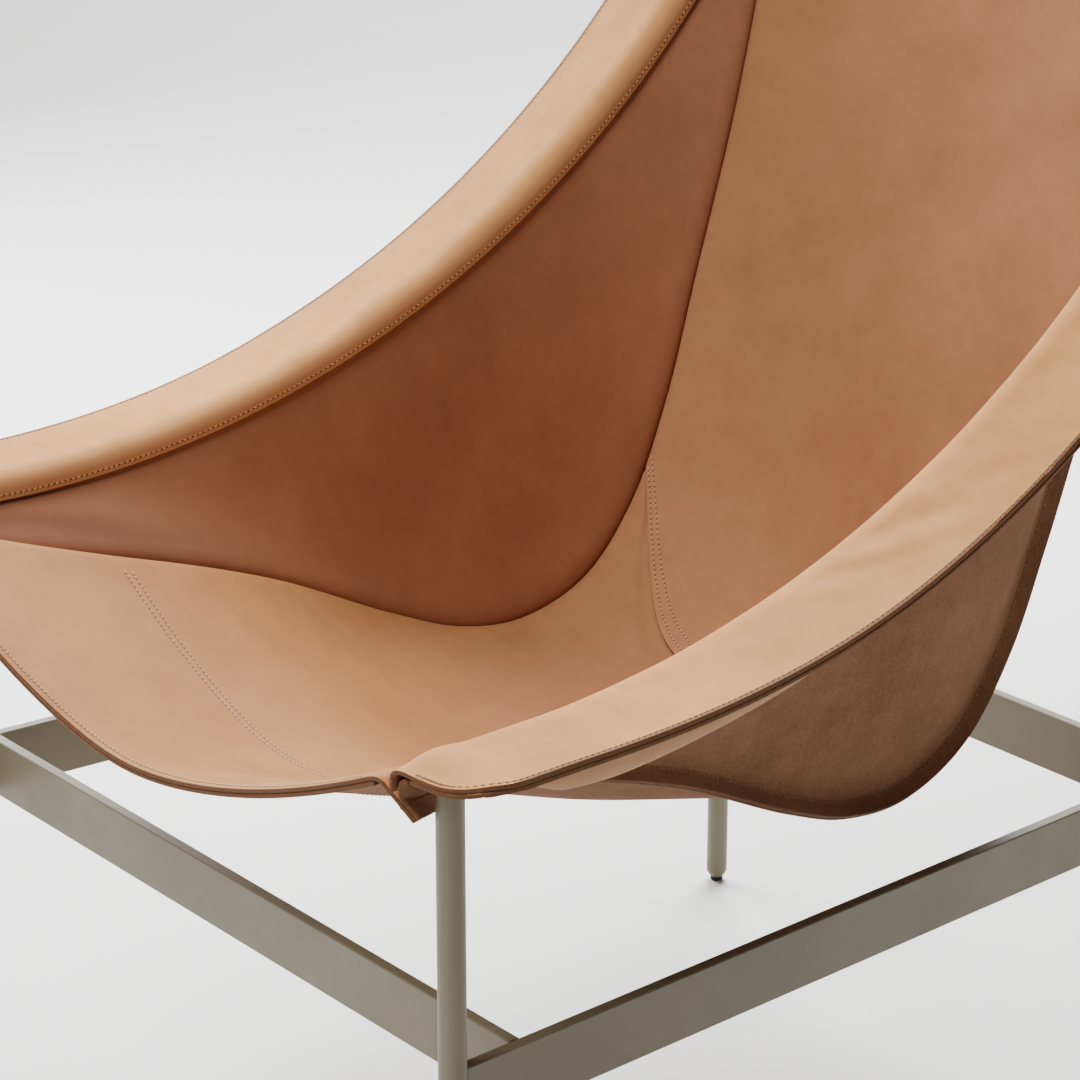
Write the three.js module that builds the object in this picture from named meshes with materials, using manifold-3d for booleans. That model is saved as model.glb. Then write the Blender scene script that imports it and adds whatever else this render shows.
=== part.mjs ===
import * as THREE from 'three';
import { mergeVertices } from 'three/addons/utils/BufferGeometryUtils.js';
import Module from 'manifold-3d';

// Leather sling lounge chair, millimetres, +Z up, front towards -Y, sitter's left towards +X

// Base frame sizes
const POST_D = 18;
const BAR_H = 45;
const BAR_T = 9;
const BAR_EDGE = 0.8;
const FRONT_SPAN = 642;
const REAR_SPAN = 562;
const POST_DEPTH = 757;
const BAR_TOP = 313;
const CROSS_INSET = 49;
const FIT_GAP = 0.3;

// Levelling glide sizes
const PAD_D = 11;
const PAD_H = 4;
const STUD_D = 6;
const STUD_L = 24;
const FOOT_TAPER = 3;
const FOOT_TAPER_H = 5;

// Arm rail sizes
const ARM_AXIS_H = 508;
const ARM_LEVEL_RUN = 68;
const ARM_RADIUS = 822;
const SPIGOT_D = 9;
const SPIGOT_L = 14;
const KNUCKLE_H = 20;
const SHOULDER_GAP = 0.05;
const KNUCKLE_SPARE = 3;
const GRUB_D = 4.8;

// Leather sizes
const LEATHER_T = 3;
const SEAM_GAP = 0.5;
const FLANGE_W = 13.5;
const SLEEVE_FRONT = 31;
const SLEEVE_REAR = 41;
const BAND_DROP = 20.5;
const BAND_OUT_FRONT = 58;
const BAND_OUT_REAR = 68;
const BAND_DROOP = 5.5;
const LAP_W = 25;
const SLING_DEPTH = 375;
const SEAM_INSET = 88;
const FRONT_SAG = 90.5;
const SEAT_SAG = 79;
const BEND_SAG = 13;
const TOP_SAG = 40;
const BELLY_FRONT = 1.6;
const BELLY_BACK = 1.85;
const HUMP = 14;
const FACING_SHARE = 0.145;
const TOP_FACING_SHARE = 0.1;
const LAP_SHARE = 0.587;
const TONGUE_SHARE = 0.112;

const POST_R = POST_D / 2;
const PLY = LEATHER_T + FIT_GAP;
const V = (x, y, z) => new THREE.Vector3(x, y, z);
const lerp = THREE.MathUtils.lerp;
const smooth = (a, b, x) => THREE.MathUtils.smoothstep(x, a, b);

const wasm = await Module();
wasm.setup();

// Solid helpers
const toSolid = (geometry) => {
  const g = geometry.clone();
  g.deleteAttribute('normal');
  g.deleteAttribute('uv');
  const merged = mergeVertices(g, 1e-4);
  return new wasm.Manifold(new wasm.Mesh({
    numProp: 3,
    vertProperties: new Float32Array(merged.attributes.position.array),
    triVerts: new Uint32Array(merged.index.array),
  }));
};
const toGeometry = (solid) => {
  const mesh = solid.getMesh();
  const g = new THREE.BufferGeometry();
  g.setAttribute('position', new THREE.BufferAttribute(new Float32Array(mesh.vertProperties), 3));
  g.setIndex(new THREE.BufferAttribute(new Uint32Array(mesh.triVerts), 1));
  return g;
};
const mirrored = (geometry) => {
  const g = geometry.clone();
  g.deleteAttribute('normal');
  g.deleteAttribute('uv');
  const m = mergeVertices(g, 1e-4);
  m.scale(-1, 1, 1);
  const index = Array.from(m.index.array);
  for (let i = 0; i < index.length; i += 3) {
    const keep = index[i];
    index[i] = index[i + 1];
    index[i + 1] = keep;
  }
  m.setIndex(index);
  return m;
};
const turned = (profile, sides) => {
  const g = new THREE.LatheGeometry(profile.map(([r, z]) => new THREE.Vector2(r, z)), sides);
  g.rotateX(Math.PI / 2);
  return g;
};
const rod = (radius, from, to, sides) => {
  const axis = to.clone().sub(from);
  const g = new THREE.CylinderGeometry(radius, radius, axis.length(), sides);
  g.applyQuaternion(new THREE.Quaternion().setFromUnitVectors(V(0, 1, 0), axis.clone().normalize()));
  g.translate(...from.clone().add(to).multiplyScalar(0.5).toArray());
  return g;
};

// Plan of the base: the posts stand on a trapezoid, wider in front
const SIDE_SLOPE = (FRONT_SPAN - REAR_SPAN) / 2 / POST_DEPTH;
const SIDE_TURN = Math.atan(SIDE_SLOPE);
const SIDE_LENGTH = Math.hypot(POST_DEPTH, (FRONT_SPAN - REAR_SPAN) / 2);
const FRONT_Y = -POST_DEPTH / 2;
const REAR_Y = POST_DEPTH / 2;
const sideX = (y) => FRONT_SPAN / 2 - (y - FRONT_Y) * SIDE_SLOPE;

// Arm rail line: a level run behind the front post, then one arc up to the rear post
const ARC_TURN = Math.asin((SIDE_LENGTH - ARM_LEVEL_RUN) / ARM_RADIUS);
const RAIL_LENGTH = ARM_LEVEL_RUN + ARM_RADIUS * ARC_TURN;
const REAR_AXIS_H = ARM_AXIS_H + ARM_RADIUS * (1 - Math.cos(ARC_TURN));
const OUT = V(Math.cos(SIDE_TURN), Math.sin(SIDE_TURN), 0);
const REAR_KNUCKLE_TOP = 2;
const REAR_KNUCKLE_SLANT = Math.tan(ARC_TURN) + 1 / Math.cos(ARC_TURN);
const REAR_KNUCKLE_H = REAR_KNUCKLE_TOP + POST_R * REAR_KNUCKLE_SLANT + KNUCKLE_SPARE;
const railFrame = (u) => {
  const turn = THREE.MathUtils.clamp((u - ARM_LEVEL_RUN) / ARM_RADIUS, 0, ARC_TURN);
  const before = Math.min(u, ARM_LEVEL_RUN);
  const after = Math.max(u - RAIL_LENGTH, 0);
  const run = before + ARM_RADIUS * Math.sin(turn) + after * Math.cos(turn);
  const rise = ARM_RADIUS * (1 - Math.cos(turn)) + after * Math.sin(turn);
  const along = V(-Math.sin(SIDE_TURN), Math.cos(SIDE_TURN), 0);
  const point = V(FRONT_SPAN / 2, FRONT_Y, ARM_AXIS_H).addScaledVector(along, run).add(V(0, 0, rise));
  const up = V(0, 0, Math.cos(turn)).addScaledVector(along, -Math.sin(turn));
  return { point, up };
};
const railPoint = (u, b, n) => {
  const { point, up } = railFrame(u);
  return point.clone().addScaledVector(OUT, b).addScaledVector(up, n);
};

// Base frame bars: upright flat bars with eased edges
const barProfile = () => {
  const a = BAR_T / 2;
  const c = BAR_EDGE;
  const s = new THREE.Shape();
  s.moveTo(-a + c, 0);
  s.lineTo(a - c, 0);
  s.lineTo(a, c);
  s.lineTo(a, BAR_H - c);
  s.lineTo(a - c, BAR_H);
  s.lineTo(-a + c, BAR_H);
  s.lineTo(-a, BAR_H - c);
  s.lineTo(-a, c);
  s.closePath();
  return s;
};
const uprightBar = (length) => {
  const g = new THREE.ExtrudeGeometry(barProfile(), { depth: length, steps: 1, bevelEnabled: false });
  g.rotateX(Math.PI / 2);
  g.translate(0, length, BAR_TOP - BAR_H);
  return g;
};
const postCut = (x, y) => {
  const ends = [V(x, y, BAR_TOP - 2 * BAR_H), V(x, y, BAR_TOP + BAR_H)];
  return toSolid(rod(POST_R + FIT_GAP, ...ends, 40));
};
const sideBar = () => {
  const g = uprightBar(SIDE_LENGTH);
  g.rotateZ(SIDE_TURN);
  g.translate(FRONT_SPAN / 2, FRONT_Y, 0);
  const cutFront = postCut(FRONT_SPAN / 2, FRONT_Y);
  const cutRear = postCut(REAR_SPAN / 2, REAR_Y);
  return toGeometry(toSolid(g).subtract(cutFront).subtract(cutRear));
};
const crossBar = (y) => {
  const g = uprightBar(FRONT_SPAN);
  g.rotateZ(-Math.PI / 2);
  g.translate(-FRONT_SPAN / 2, y, 0);
  const outside = new THREE.BoxGeometry(FRONT_SPAN, 3 * POST_DEPTH, 3 * BAR_H);
  outside.translate(FRONT_SPAN / 2 - BAR_T / 2 - FIT_GAP, 0, 0);
  outside.rotateZ(SIDE_TURN);
  outside.translate(sideX(0), 0, BAR_TOP - BAR_H / 2);
  return toGeometry(toSolid(g).subtract(toSolid(outside)).subtract(toSolid(mirrored(outside))));
};

// Posts: turned rods with a tapered foot, a bore for the glide stud and a spigot on top
const FOOT_Z = PAD_H + FIT_GAP;
const BORE_TOP = STUD_L + PAD_H;
const post = (shoulder, x, y) => {
  const g = turned([
    [0, BORE_TOP],
    [STUD_D / 2 + FIT_GAP, BORE_TOP],
    [STUD_D / 2 + FIT_GAP, FOOT_Z],
    [POST_R - FOOT_TAPER, FOOT_Z],
    [POST_R, FOOT_Z + FOOT_TAPER_H],
    [POST_R, shoulder],
    [SPIGOT_D / 2, shoulder],
    [SPIGOT_D / 2, shoulder + SPIGOT_L],
    [0, shoulder + SPIGOT_L],
  ], 24);
  g.translate(x, y, 0);
  return g;
};
const FRONT_SHOULDER = ARM_AXIS_H + POST_R + 1.5 - KNUCKLE_H - SHOULDER_GAP;
const REAR_SHOULDER = REAR_AXIS_H + REAR_KNUCKLE_TOP - REAR_KNUCKLE_H - SHOULDER_GAP;

// Levelling glides: a soft pad on a threaded stud, drawn as a plain rod
const glidePad = (x, y) => {
  const g = turned([
    [0, 0],
    [PAD_D / 2 - 0.8, 0],
    [PAD_D / 2, 0.8],
    [PAD_D / 2, PAD_H - 0.6],
    [PAD_D / 2 - 0.4, PAD_H],
    [STUD_D / 2 + FIT_GAP, PAD_H],
    [STUD_D / 2 + FIT_GAP, PAD_H / 2],
    [0, PAD_H / 2],
  ], 24);
  g.translate(x, y, 0);
  return g;
};
const glideStud = (x, y) => {
  const z = PAD_H / 2 + FIT_GAP;
  const end = z + STUD_L;
  const outline = [[0, z], [STUD_D / 2, z], [STUD_D / 2, end - 1], [STUD_D / 2 - 1, end], [0, end]];
  const g = turned(outline, 20);
  g.translate(x, y, 0);
  return g;
};

// Arm rail: a bent rod with an upright knuckle at each end that drops on a post spigot
class RailLine extends THREE.Curve {
  getPoint(t, target = V(0, 0, 0)) {
    return target.copy(railFrame(t * (RAIL_LENGTH + POST_R)).point);
  }
}
const BORE_R = SPIGOT_D / 2 + FIT_GAP;
const knuckleCut = (x, y, shoulder) => {
  const end = shoulder + SPIGOT_L + FIT_GAP;
  return rod(BORE_R, V(x, y, shoulder - 5), V(x, y, end), 20);
};
const armRail = () => {
  const ring = new THREE.Shape();
  ring.absarc(0, 0, POST_R, 0, Math.PI * 2, false);
  const sweep = { extrudePath: new RailLine(), steps: 24, curveSegments: 8, bevelEnabled: false };
  const g = new THREE.ExtrudeGeometry(ring, sweep);
  const fx = FRONT_SPAN / 2;
  const rx = REAR_SPAN / 2;
  const fTop = FRONT_SHOULDER + SHOULDER_GAP + KNUCKLE_H;
  const rTop = REAR_SHOULDER + SHOULDER_GAP + REAR_KNUCKLE_H;
  const front = rod(POST_R - 0.2, V(fx, FRONT_Y, FRONT_SHOULDER + FIT_GAP), V(fx, FRONT_Y, fTop), 20);
  const rear = rod(POST_R - 0.2, V(rx, REAR_Y, REAR_SHOULDER + FIT_GAP), V(rx, REAR_Y, rTop), 20);
  const grubCut = (x, y, z, way) => {
    const end = V(x, y + way * 3 * POST_R, z);
    return rod(GRUB_D / 2 + FIT_GAP, V(x, y, z), end, 16);
  };
  let solid = toSolid(g).add(toSolid(front)).add(toSolid(rear));
  solid = solid.subtract(toSolid(knuckleCut(fx, FRONT_Y, FRONT_SHOULDER)));
  solid = solid.subtract(toSolid(knuckleCut(rx, REAR_Y, REAR_SHOULDER)));
  solid = solid.subtract(toSolid(grubCut(fx, FRONT_Y, FRONT_SHOULDER + SPIGOT_L / 2, -1)));
  solid = solid.subtract(toSolid(grubCut(rx, REAR_Y, REAR_SHOULDER + SPIGOT_L / 2, 1)));
  return toGeometry(solid);
};
const grubScrew = (x, y, z, way) => {
  const inner = SPIGOT_D / 2 + FIT_GAP;
  const outer = POST_R - 0.6;
  return rod(GRUB_D / 2, V(x, y + way * inner, z), V(x, y + way * outer, z), 16);
};

// Leather sheets: a grid of middle points given thickness along its normals, closed all round
const sheet = (grid, offset = () => 0) => {
  const nr = grid.length;
  const nc = grid[0].length;
  const half = LEATHER_T / 2;
  const step = (a, b) => b.clone().sub(a).normalize();
  const normal = (i, j) => {
    const c = V(0, 0, 0);
    const r = V(0, 0, 0);
    if (j > 0) c.add(step(grid[i][j - 1], grid[i][j]));
    if (j < nc - 1) c.add(step(grid[i][j], grid[i][j + 1]));
    if (i > 0) r.add(step(grid[i - 1][j], grid[i][j]));
    if (i < nr - 1) r.add(step(grid[i][j], grid[i + 1][j]));
    const mitre = j > 0 && j < nc - 1 ? 1 / Math.max(0.78, c.length() / 2) : 1;
    return c.cross(r).normalize().multiplyScalar(mitre);
  };
  const points = [];
  for (let i = 0; i < nr; i += 1) {
    for (let j = 0; j < nc; j += 1) {
      const n = normal(i, j);
      const o = offset(i, j);
      const mid = grid[i][j];
      points.push(mid.clone().addScaledVector(n, o + half), mid.clone().addScaledVector(n, o - half));
    }
  }
  const at = (i, j, low) => 2 * (i * nc + j) + low;
  const index = [];
  const quad = (a, b, c, d, flip) => (flip ? index.push(a, b, d, b, c, d) : index.push(a, b, c, a, c, d));
  for (let i = 0; i < nr - 1; i += 1) {
    for (let j = 0; j < nc - 1; j += 1) {
      const flip = j < (nc - 1) / 2;
      quad(at(i, j, 0), at(i, j + 1, 0), at(i + 1, j + 1, 0), at(i + 1, j, 0), flip);
      const c = [at(i, j, 1), at(i + 1, j, 1), at(i + 1, j + 1, 1), at(i, j + 1, 1)];
      if (flip) index.push(c[0], c[1], c[3], c[3], c[1], c[2]);
      else index.push(c[0], c[2], c[3], c[0], c[1], c[2]);
    }
  }
  for (let j = 0; j < nc - 1; j += 1) {
    quad(at(0, j, 1), at(0, j + 1, 1), at(0, j + 1, 0), at(0, j, 0), false);
    quad(at(nr - 1, j, 0), at(nr - 1, j + 1, 0), at(nr - 1, j + 1, 1), at(nr - 1, j, 1), false);
  }
  for (let i = 0; i < nr - 1; i += 1) {
    quad(at(i, 0, 0), at(i + 1, 0, 0), at(i + 1, 0, 1), at(i, 0, 1), false);
    quad(at(i, nc - 1, 1), at(i + 1, nc - 1, 1), at(i + 1, nc - 1, 0), at(i, nc - 1, 0), false);
  }
  const g = new THREE.BufferGeometry();
  const flat = new Float32Array(points.flatMap((p) => p.toArray()));
  g.setAttribute('position', new THREE.BufferAttribute(flat, 3));
  g.setIndex(index);
  return g;
};

// Side seam line, from the sleeve's front end down round the seat and up to the sleeve's top end.
// Each row: share of the end-to-end line, share of the sling depth below it, share of the seam inset.
const SEAM = [
  [0.0626, 0.1187, 0.557], [0.1191, 0.2315, 0.744], [0.1733, 0.3504, 0.818], [0.2453, 0.536, 0.844],
  [0.32, 0.7741, 0.852], [0.3668, 0.8997, 0.918], [0.421, 0.9816, 0.951], [0.4902, 0.9997, 0.983],
  [0.5597, 0.9272, 1], [0.6316, 0.7829, 0.992], [0.7147, 0.584, 0.926], [0.8197, 0.3611, 0.749],
  [0.9038, 0.1901, 0.519],
];
const lapOut = (ply) => -(POST_R + FIT_GAP + LEATHER_T / 2 + ply * PLY);
const SEAM_END_B = lapOut(1) - 3.4;
const SEAM_END_N = -15.5;
const FRONT_U = -SLEEVE_FRONT;
const HANG_FRONT_U = -SLEEVE_FRONT + 1;
const TOP_U = RAIL_LENGTH + SLEEVE_REAR - 6;
const seamCurve = (() => {
  const a = railPoint(FRONT_U, SEAM_END_B, SEAM_END_N);
  const b = railPoint(TOP_U, SEAM_END_B, SEAM_END_N);
  const line = V(0, b.y - a.y, b.z - a.z);
  const down = V(0, line.z, -line.y).normalize();
  const mid = SEAM.map(([t, d, k]) => {
    const p = a.clone().addScaledVector(line, t).addScaledVector(down, d * SLING_DEPTH);
    p.x = sideX(p.y) - k * SEAM_INSET;
    return p;
  });
  return new THREE.CatmullRomCurve3([a, ...mid, b], false, 'centripetal');
})();
seamCurve.arcLengthDivisions = 600;

// Section of the sling at a share s of the seam's length
const sagAt = (s) => {
  const keys = [
    [0, FRONT_SAG], [0.13, 0.985 * FRONT_SAG],
    [0.27, SEAT_SAG], [0.31, 0.88 * SEAT_SAG], [0.345, 0.66 * SEAT_SAG], [0.4, 0.36 * SEAT_SAG],
    [0.46, 1.3 * BEND_SAG], [0.54, BEND_SAG], [0.75, 1.15 * BEND_SAG],
    [0.9, 0.6 * TOP_SAG], [1, TOP_SAG],
  ];
  let i = 1;
  while (i < keys.length - 1 && s > keys[i][0]) i += 1;
  const [s0, h0] = keys[i - 1];
  const [s1, h1] = keys[i];
  return lerp(h0, h1, THREE.MathUtils.clamp((s - s0) / (s1 - s0), 0, 1));
};
const belly = (s) => lerp(BELLY_FRONT, BELLY_BACK, smooth(0, 0.3, s));
const sagShape = (s, xi) => {
  const e = 0.12;
  const power = belly(s) / 2;
  const at = (x) => (x * x + e * e) ** power;
  return 1 - (at(xi) - at(0)) / (at(1) - at(0));
};
const sagMean = (s) => (sagAt(s - 0.03) + 2 * sagAt(s) + sagAt(s + 0.03)) / 4;
const section = (s) => {
  const c = THREE.MathUtils.clamp(s, 0, 1);
  const p = seamCurve.getPointAt(c);
  const t = seamCurve.getTangentAt(c);
  const flat = V(0, t.z, -t.y).normalize();
  const down = V(0, 0, -1).lerp(flat, smooth(0, 0.35, c)).normalize();
  const sag = sagMean(c);
  const hang = railPoint(lerp(HANG_FRONT_U, TOP_U, c), lapOut(1), -10);
  const fromSide = p.clone().sub(hang);
  fromSide.addScaledVector(t, -fromSide.dot(t)).normalize();
  const fromSeat = V(1, 0, 0).addScaledVector(down, -belly(c) * sag / p.x);
  fromSeat.addScaledVector(t, -fromSeat.dot(t)).normalize();
  const across = fromSeat.clone().sub(fromSide).normalize();
  const flange = across.clone().cross(t).normalize();
  if (flange.dot(down) < 0) flange.negate();
  const shift = (LEATHER_T + SEAM_GAP) / 2;
  const lift = 2 + (HUMP - 2) * Math.max(1 - c / 0.16, 0) ** 1.5;
  return {
    down, sag, hang,
    seatEdge: p.clone().addScaledVector(flange, -lift).addScaledVector(across, -shift),
    seatTip: p.clone().addScaledVector(flange, FLANGE_W).addScaledVector(across, -shift),
    sideEdge: p.clone().addScaledVector(across, shift),
    sideTip: p.clone().addScaledVector(flange, FLANGE_W).addScaledVector(across, shift),
  };
};
const SEAM_LENGTH = seamCurve.getLength();
const LAP = LAP_W / SEAM_LENGTH;
const STATIONS = [
  0, 0.03, 0.065, 0.105, FACING_SHARE, 0.185, 0.225, 0.27, 0.312, 0.35, 0.39, 0.43, 0.468, 0.505, 0.537,
  LAP_SHARE - LAP,
  LAP_SHARE, LAP_SHARE + LAP, 0.645, 0.69, 0.745, 0.8, 0.855, 1 - TOP_FACING_SHARE, 0.933, 0.967, 1,
];
const LAP_ROW = STATIONS.indexOf(LAP_SHARE);
const FACING_ROW = STATIONS.indexOf(FACING_SHARE);
const TOP_FACING_ROW = STATIONS.indexOf(1 - TOP_FACING_SHARE);
const LAST_ROW = STATIONS.length - 1;
const ACROSS = [0.25, 0.5, 0.72, 0.88, 0.965];
const SPREAD = [...ACROSS.map((k) => -k).reverse(), 0, ...ACROSS];
const mirrorX = (p) => V(-p.x, p.y, p.z);

// Seat and back share one surface; the tongue of the back dips over the seat in the middle
const tongue = (k, xi) => {
  const s = STATIONS[k];
  const rising = smooth(FACING_SHARE, LAP_SHARE - LAP, s);
  const pull = rising * (1 - smooth(LAP_SHARE + LAP, 1 - TOP_FACING_SHARE, s));
  return s - TONGUE_SHARE * (1 - Math.abs(xi) ** 2.8) * pull;
};
const slingPoint = (s, xi) => {
  const q = section(s);
  const p = V(xi * q.seatEdge.x, q.seatEdge.y, q.seatEdge.z);
  return p.addScaledVector(q.down, q.sag * sagShape(s, xi));
};
const slingRow = (k) => {
  const edge = section(STATIONS[k]);
  const inner = SPREAD.map((xi) => slingPoint(tongue(k, xi), xi));
  return [mirrorX(edge.seatTip), mirrorX(edge.seatEdge), ...inner, edge.seatEdge, edge.seatTip];
};
const SLING = STATIONS.map((s, k) => slingRow(k));
const seatPanel = () => sheet(SLING.slice(0, LAP_ROW + 2), (i) => (i >= LAP_ROW ? -PLY : 0));
const backPanel = () => sheet(SLING.slice(LAP_ROW));
const FACING_EDGE = 2;
const facingRow = (row) => row.slice(FACING_EDGE, row.length - FACING_EDGE);
const facingGrid = (from, to) => SLING.slice(from, to + 1).map(facingRow);
const frontFacing = () => sheet(facingGrid(0, FACING_ROW), () => -PLY);
const topFacing = () => sheet(facingGrid(TOP_FACING_ROW, LAST_ROW), () => -PLY);

// Side panels hang from the sleeve and are sewn to the seat and back along the flange
const sidePanel = () => {
  const rows = STATIONS.map((s) => {
    const q = section(s);
    const top = railPoint(lerp(HANG_FRONT_U, TOP_U, s), lapOut(1), 1);
    const fall = q.sideEdge.clone().sub(q.hang);
    const bulge = OUT.clone().multiplyScalar(0.035 * Math.max(fall.length() - 30, 0));
    const body = [0.18, 0.38, 0.58, 0.77].map((v) => q.hang.clone().addScaledVector(fall, v)
      .addScaledVector(bulge, Math.sin(Math.PI * v) * v * 1.6));
    return [q.sideTip, q.sideEdge, ...body.reverse(), q.hang, top];
  });
  return sheet(rows);
};

// Arm sleeves: an upper band over the rail and a lower layer under it, sewn together at the outer edge
const bandOut = (u) => lerp(BAND_OUT_FRONT, BAND_OUT_REAR, smooth(0, 400, u));
const CREST = POST_R + FIT_GAP + LEATHER_T / 2 + 0.5;
const bandEdge = (u) => CREST - 0.3 - BAND_DROOP * smooth(60, 330, u);
const bandStart = (f) => -SLEEVE_FRONT + 6 * f + 33 * f ** 4;
const bandEnd = (f) => RAIL_LENGTH + SLEEVE_REAR - 3 * f - 14 * f ** 4;
const BAND_ROWS = [
  0, 0.016, 0.034, 0.05, 0.075, 0.11, 0.16, 0.21, 0.26, 0.31, 0.36, 0.41, 0.46, 0.51, 0.56, 0.61,
  0.66, 0.71, 0.76, 0.81, 0.86, 0.91, 0.95, 0.984, 1,
];
const TOP_SPREAD = [0.16, 0.4, 0.62, 0.82, 1];
const bandU = (row, f) => lerp(bandStart(f), bandEnd(f), BAND_ROWS[row]);
const bump = (u) => 2.6 * Math.exp(-(((u + 2) / 17) ** 2));
const bandTop = (row, f, drop) => {
  const u = bandU(row, f);
  const n = lerp(CREST, bandEdge(u), f) + bump(u) * Math.max(1 - 3 * f, 0);
  return railPoint(u, f * bandOut(u), n - drop);
};
const INNER_EDGE_N = CREST + LEATHER_T / 2 - BAND_DROP;
const armBand = () => sheet(BAND_ROWS.map((r, i) => {
  const u = bandU(i, 0);
  const in2 = lapOut(2);
  const lift = bump(u);
  const drop = [
    [in2, INNER_EDGE_N], [in2, -3.5], [in2, 2.4],
    [in2 + 2.2, 7.2 + 0.4 * lift], [in2 + 7.4, CREST - 0.9 + 0.9 * lift],
  ];
  const crown = railPoint(u, -2, CREST + 0.1 + lift);
  return [...drop.map(([b, n]) => railPoint(u, b, n)), crown, ...TOP_SPREAD.map((f) => bandTop(i, f, 0))];
}));
const FULL = [[0.97, -0.1], [0.89, -0.48], [0.75, -0.82], [0.56, -1.06], [0.34, -1.12], [0.11, -1.02]];
const SLIM = [[0.97, 0.14], [0.85, -0.08], [0.69, -0.27], [0.5, -0.44], [0.3, -0.58], [0.09, -0.68]];
const LOWER_REACH = 48;
const LOWER_DEPTH = 19.5;
const lowerLayer = () => sheet(BAND_ROWS.map((r, i) => {
  const row = [];
  const inStart = POST_R + 7;
  const inEnd = RAIL_LENGTH - 48;
  const u0 = lerp(inStart, inEnd, r);
  const in0 = lapOut(0);
  const lap = [[0, 1], [0, -4.5], [1.2, -8.6], [5.4, -12.4]];
  row.push(...lap.map(([b, n]) => railPoint(u0, in0 + b, n)));
  FULL.forEach((p, k) => {
    const f = FULL.length - 1 - k;
    const out = smooth(0.2, 0.98, FULL[f][0]);
    const u = lerp(lerp(inStart, bandStart(0.82), out), lerp(inEnd, bandEnd(0.82), out), r);
    const full = (0.35 + 0.65 * smooth(-20, 90, u)) * (1 - smooth(120, 380, u));
    const scale = bandOut(u) / BAND_OUT_REAR * 1.06;
    const b = lerp(SLIM[f][0], FULL[f][0], full) * LOWER_REACH * scale;
    const n = lerp(SLIM[f][1], FULL[f][1], full) * LOWER_DEPTH;
    row.push(railPoint(u, b, n));
  });
  row.push(bandTop(i, 0.82, PLY), bandTop(i, 1, PLY));
  return row;
}));
const hemRow = (i) => [0, 0.16, 0.4, 0.62].map((f) => bandTop(i, f, PLY + FIT_GAP));
const endHem = (rows) => sheet(rows.map(hemRow));

// Colours and finishes
const finish = (color, roughness, metalness) => (
  new THREE.MeshStandardMaterial({ color, roughness, metalness })
);
const PAINT = [0x968f83, 0.55, 0.35];
const STEEL = [0xb9bcc0, 0.35, 0.95];
const BLACK = [0x18181a, 0.8, 0];
const TAN = [0xb98560, 0.6, 0];
const PALE = [0xcfa98a, 0.6, 0];
const DARK = [0x9a6a48, 0.65, 0];

const group = new THREE.Group();
group.name = 'leather_sling_lounge_chair';
const add = (name, geometry, [colour, roughness, metalness]) => {
  const g = mergeVertices((() => {
    const c = geometry.clone();
    c.deleteAttribute('normal');
    c.deleteAttribute('uv');
    return c;
  })(), 1e-4);
  g.computeVertexNormals();
  const mesh = new THREE.Mesh(g, finish(colour, roughness, metalness));
  mesh.name = name;
  group.add(mesh);
};
const addPair = (name, geometry, look) => {
  add(`${name}_left`, geometry, look);
  add(`${name}_right`, mirrored(geometry), look);
};

// Assembly
addPair('side_bar', sideBar(), PAINT);
add('cross_bar_front', crossBar(FRONT_Y + CROSS_INSET + BAR_T / 2), PAINT);
add('cross_bar_rear', crossBar(REAR_Y - CROSS_INSET - BAR_T / 2), PAINT);
addPair('post_front', post(FRONT_SHOULDER, FRONT_SPAN / 2, FRONT_Y), PAINT);
addPair('post_rear', post(REAR_SHOULDER, REAR_SPAN / 2, REAR_Y), PAINT);
addPair('glide_pad_front', glidePad(FRONT_SPAN / 2, FRONT_Y), BLACK);
addPair('glide_pad_rear', glidePad(REAR_SPAN / 2, REAR_Y), BLACK);
addPair('glide_stud_front', glideStud(FRONT_SPAN / 2, FRONT_Y), STEEL);
addPair('glide_stud_rear', glideStud(REAR_SPAN / 2, REAR_Y), STEEL);
addPair('arm_rail', armRail(), PAINT);
addPair('grub_screw_front', grubScrew(FRONT_SPAN / 2, FRONT_Y, FRONT_SHOULDER + SPIGOT_L / 2, -1), STEEL);
addPair('grub_screw_rear', grubScrew(REAR_SPAN / 2, REAR_Y, REAR_SHOULDER + SPIGOT_L / 2, 1), STEEL);
add('seat_panel', seatPanel(), TAN);
add('back_panel', backPanel(), TAN);
add('front_facing', frontFacing(), DARK);
add('top_facing', topFacing(), DARK);
addPair('side_panel', sidePanel(), DARK);
addPair('arm_band', armBand(), PALE);
addPair('sleeve_underside', lowerLayer(), PALE);
addPair('sleeve_hem_front', endHem([0, 1]), DARK);
addPair('sleeve_hem_rear', endHem([BAND_ROWS.length - 2, BAND_ROWS.length - 1]), DARK);

// Row origin: the middle of the outline's box, on the floor
const box = new THREE.Box3().setFromObject(group);
const middle = (box.min.y + box.max.y) / 2;
group.children.forEach((mesh) => mesh.geometry.translate(0, -middle, -box.min.z));

export default group;
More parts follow.
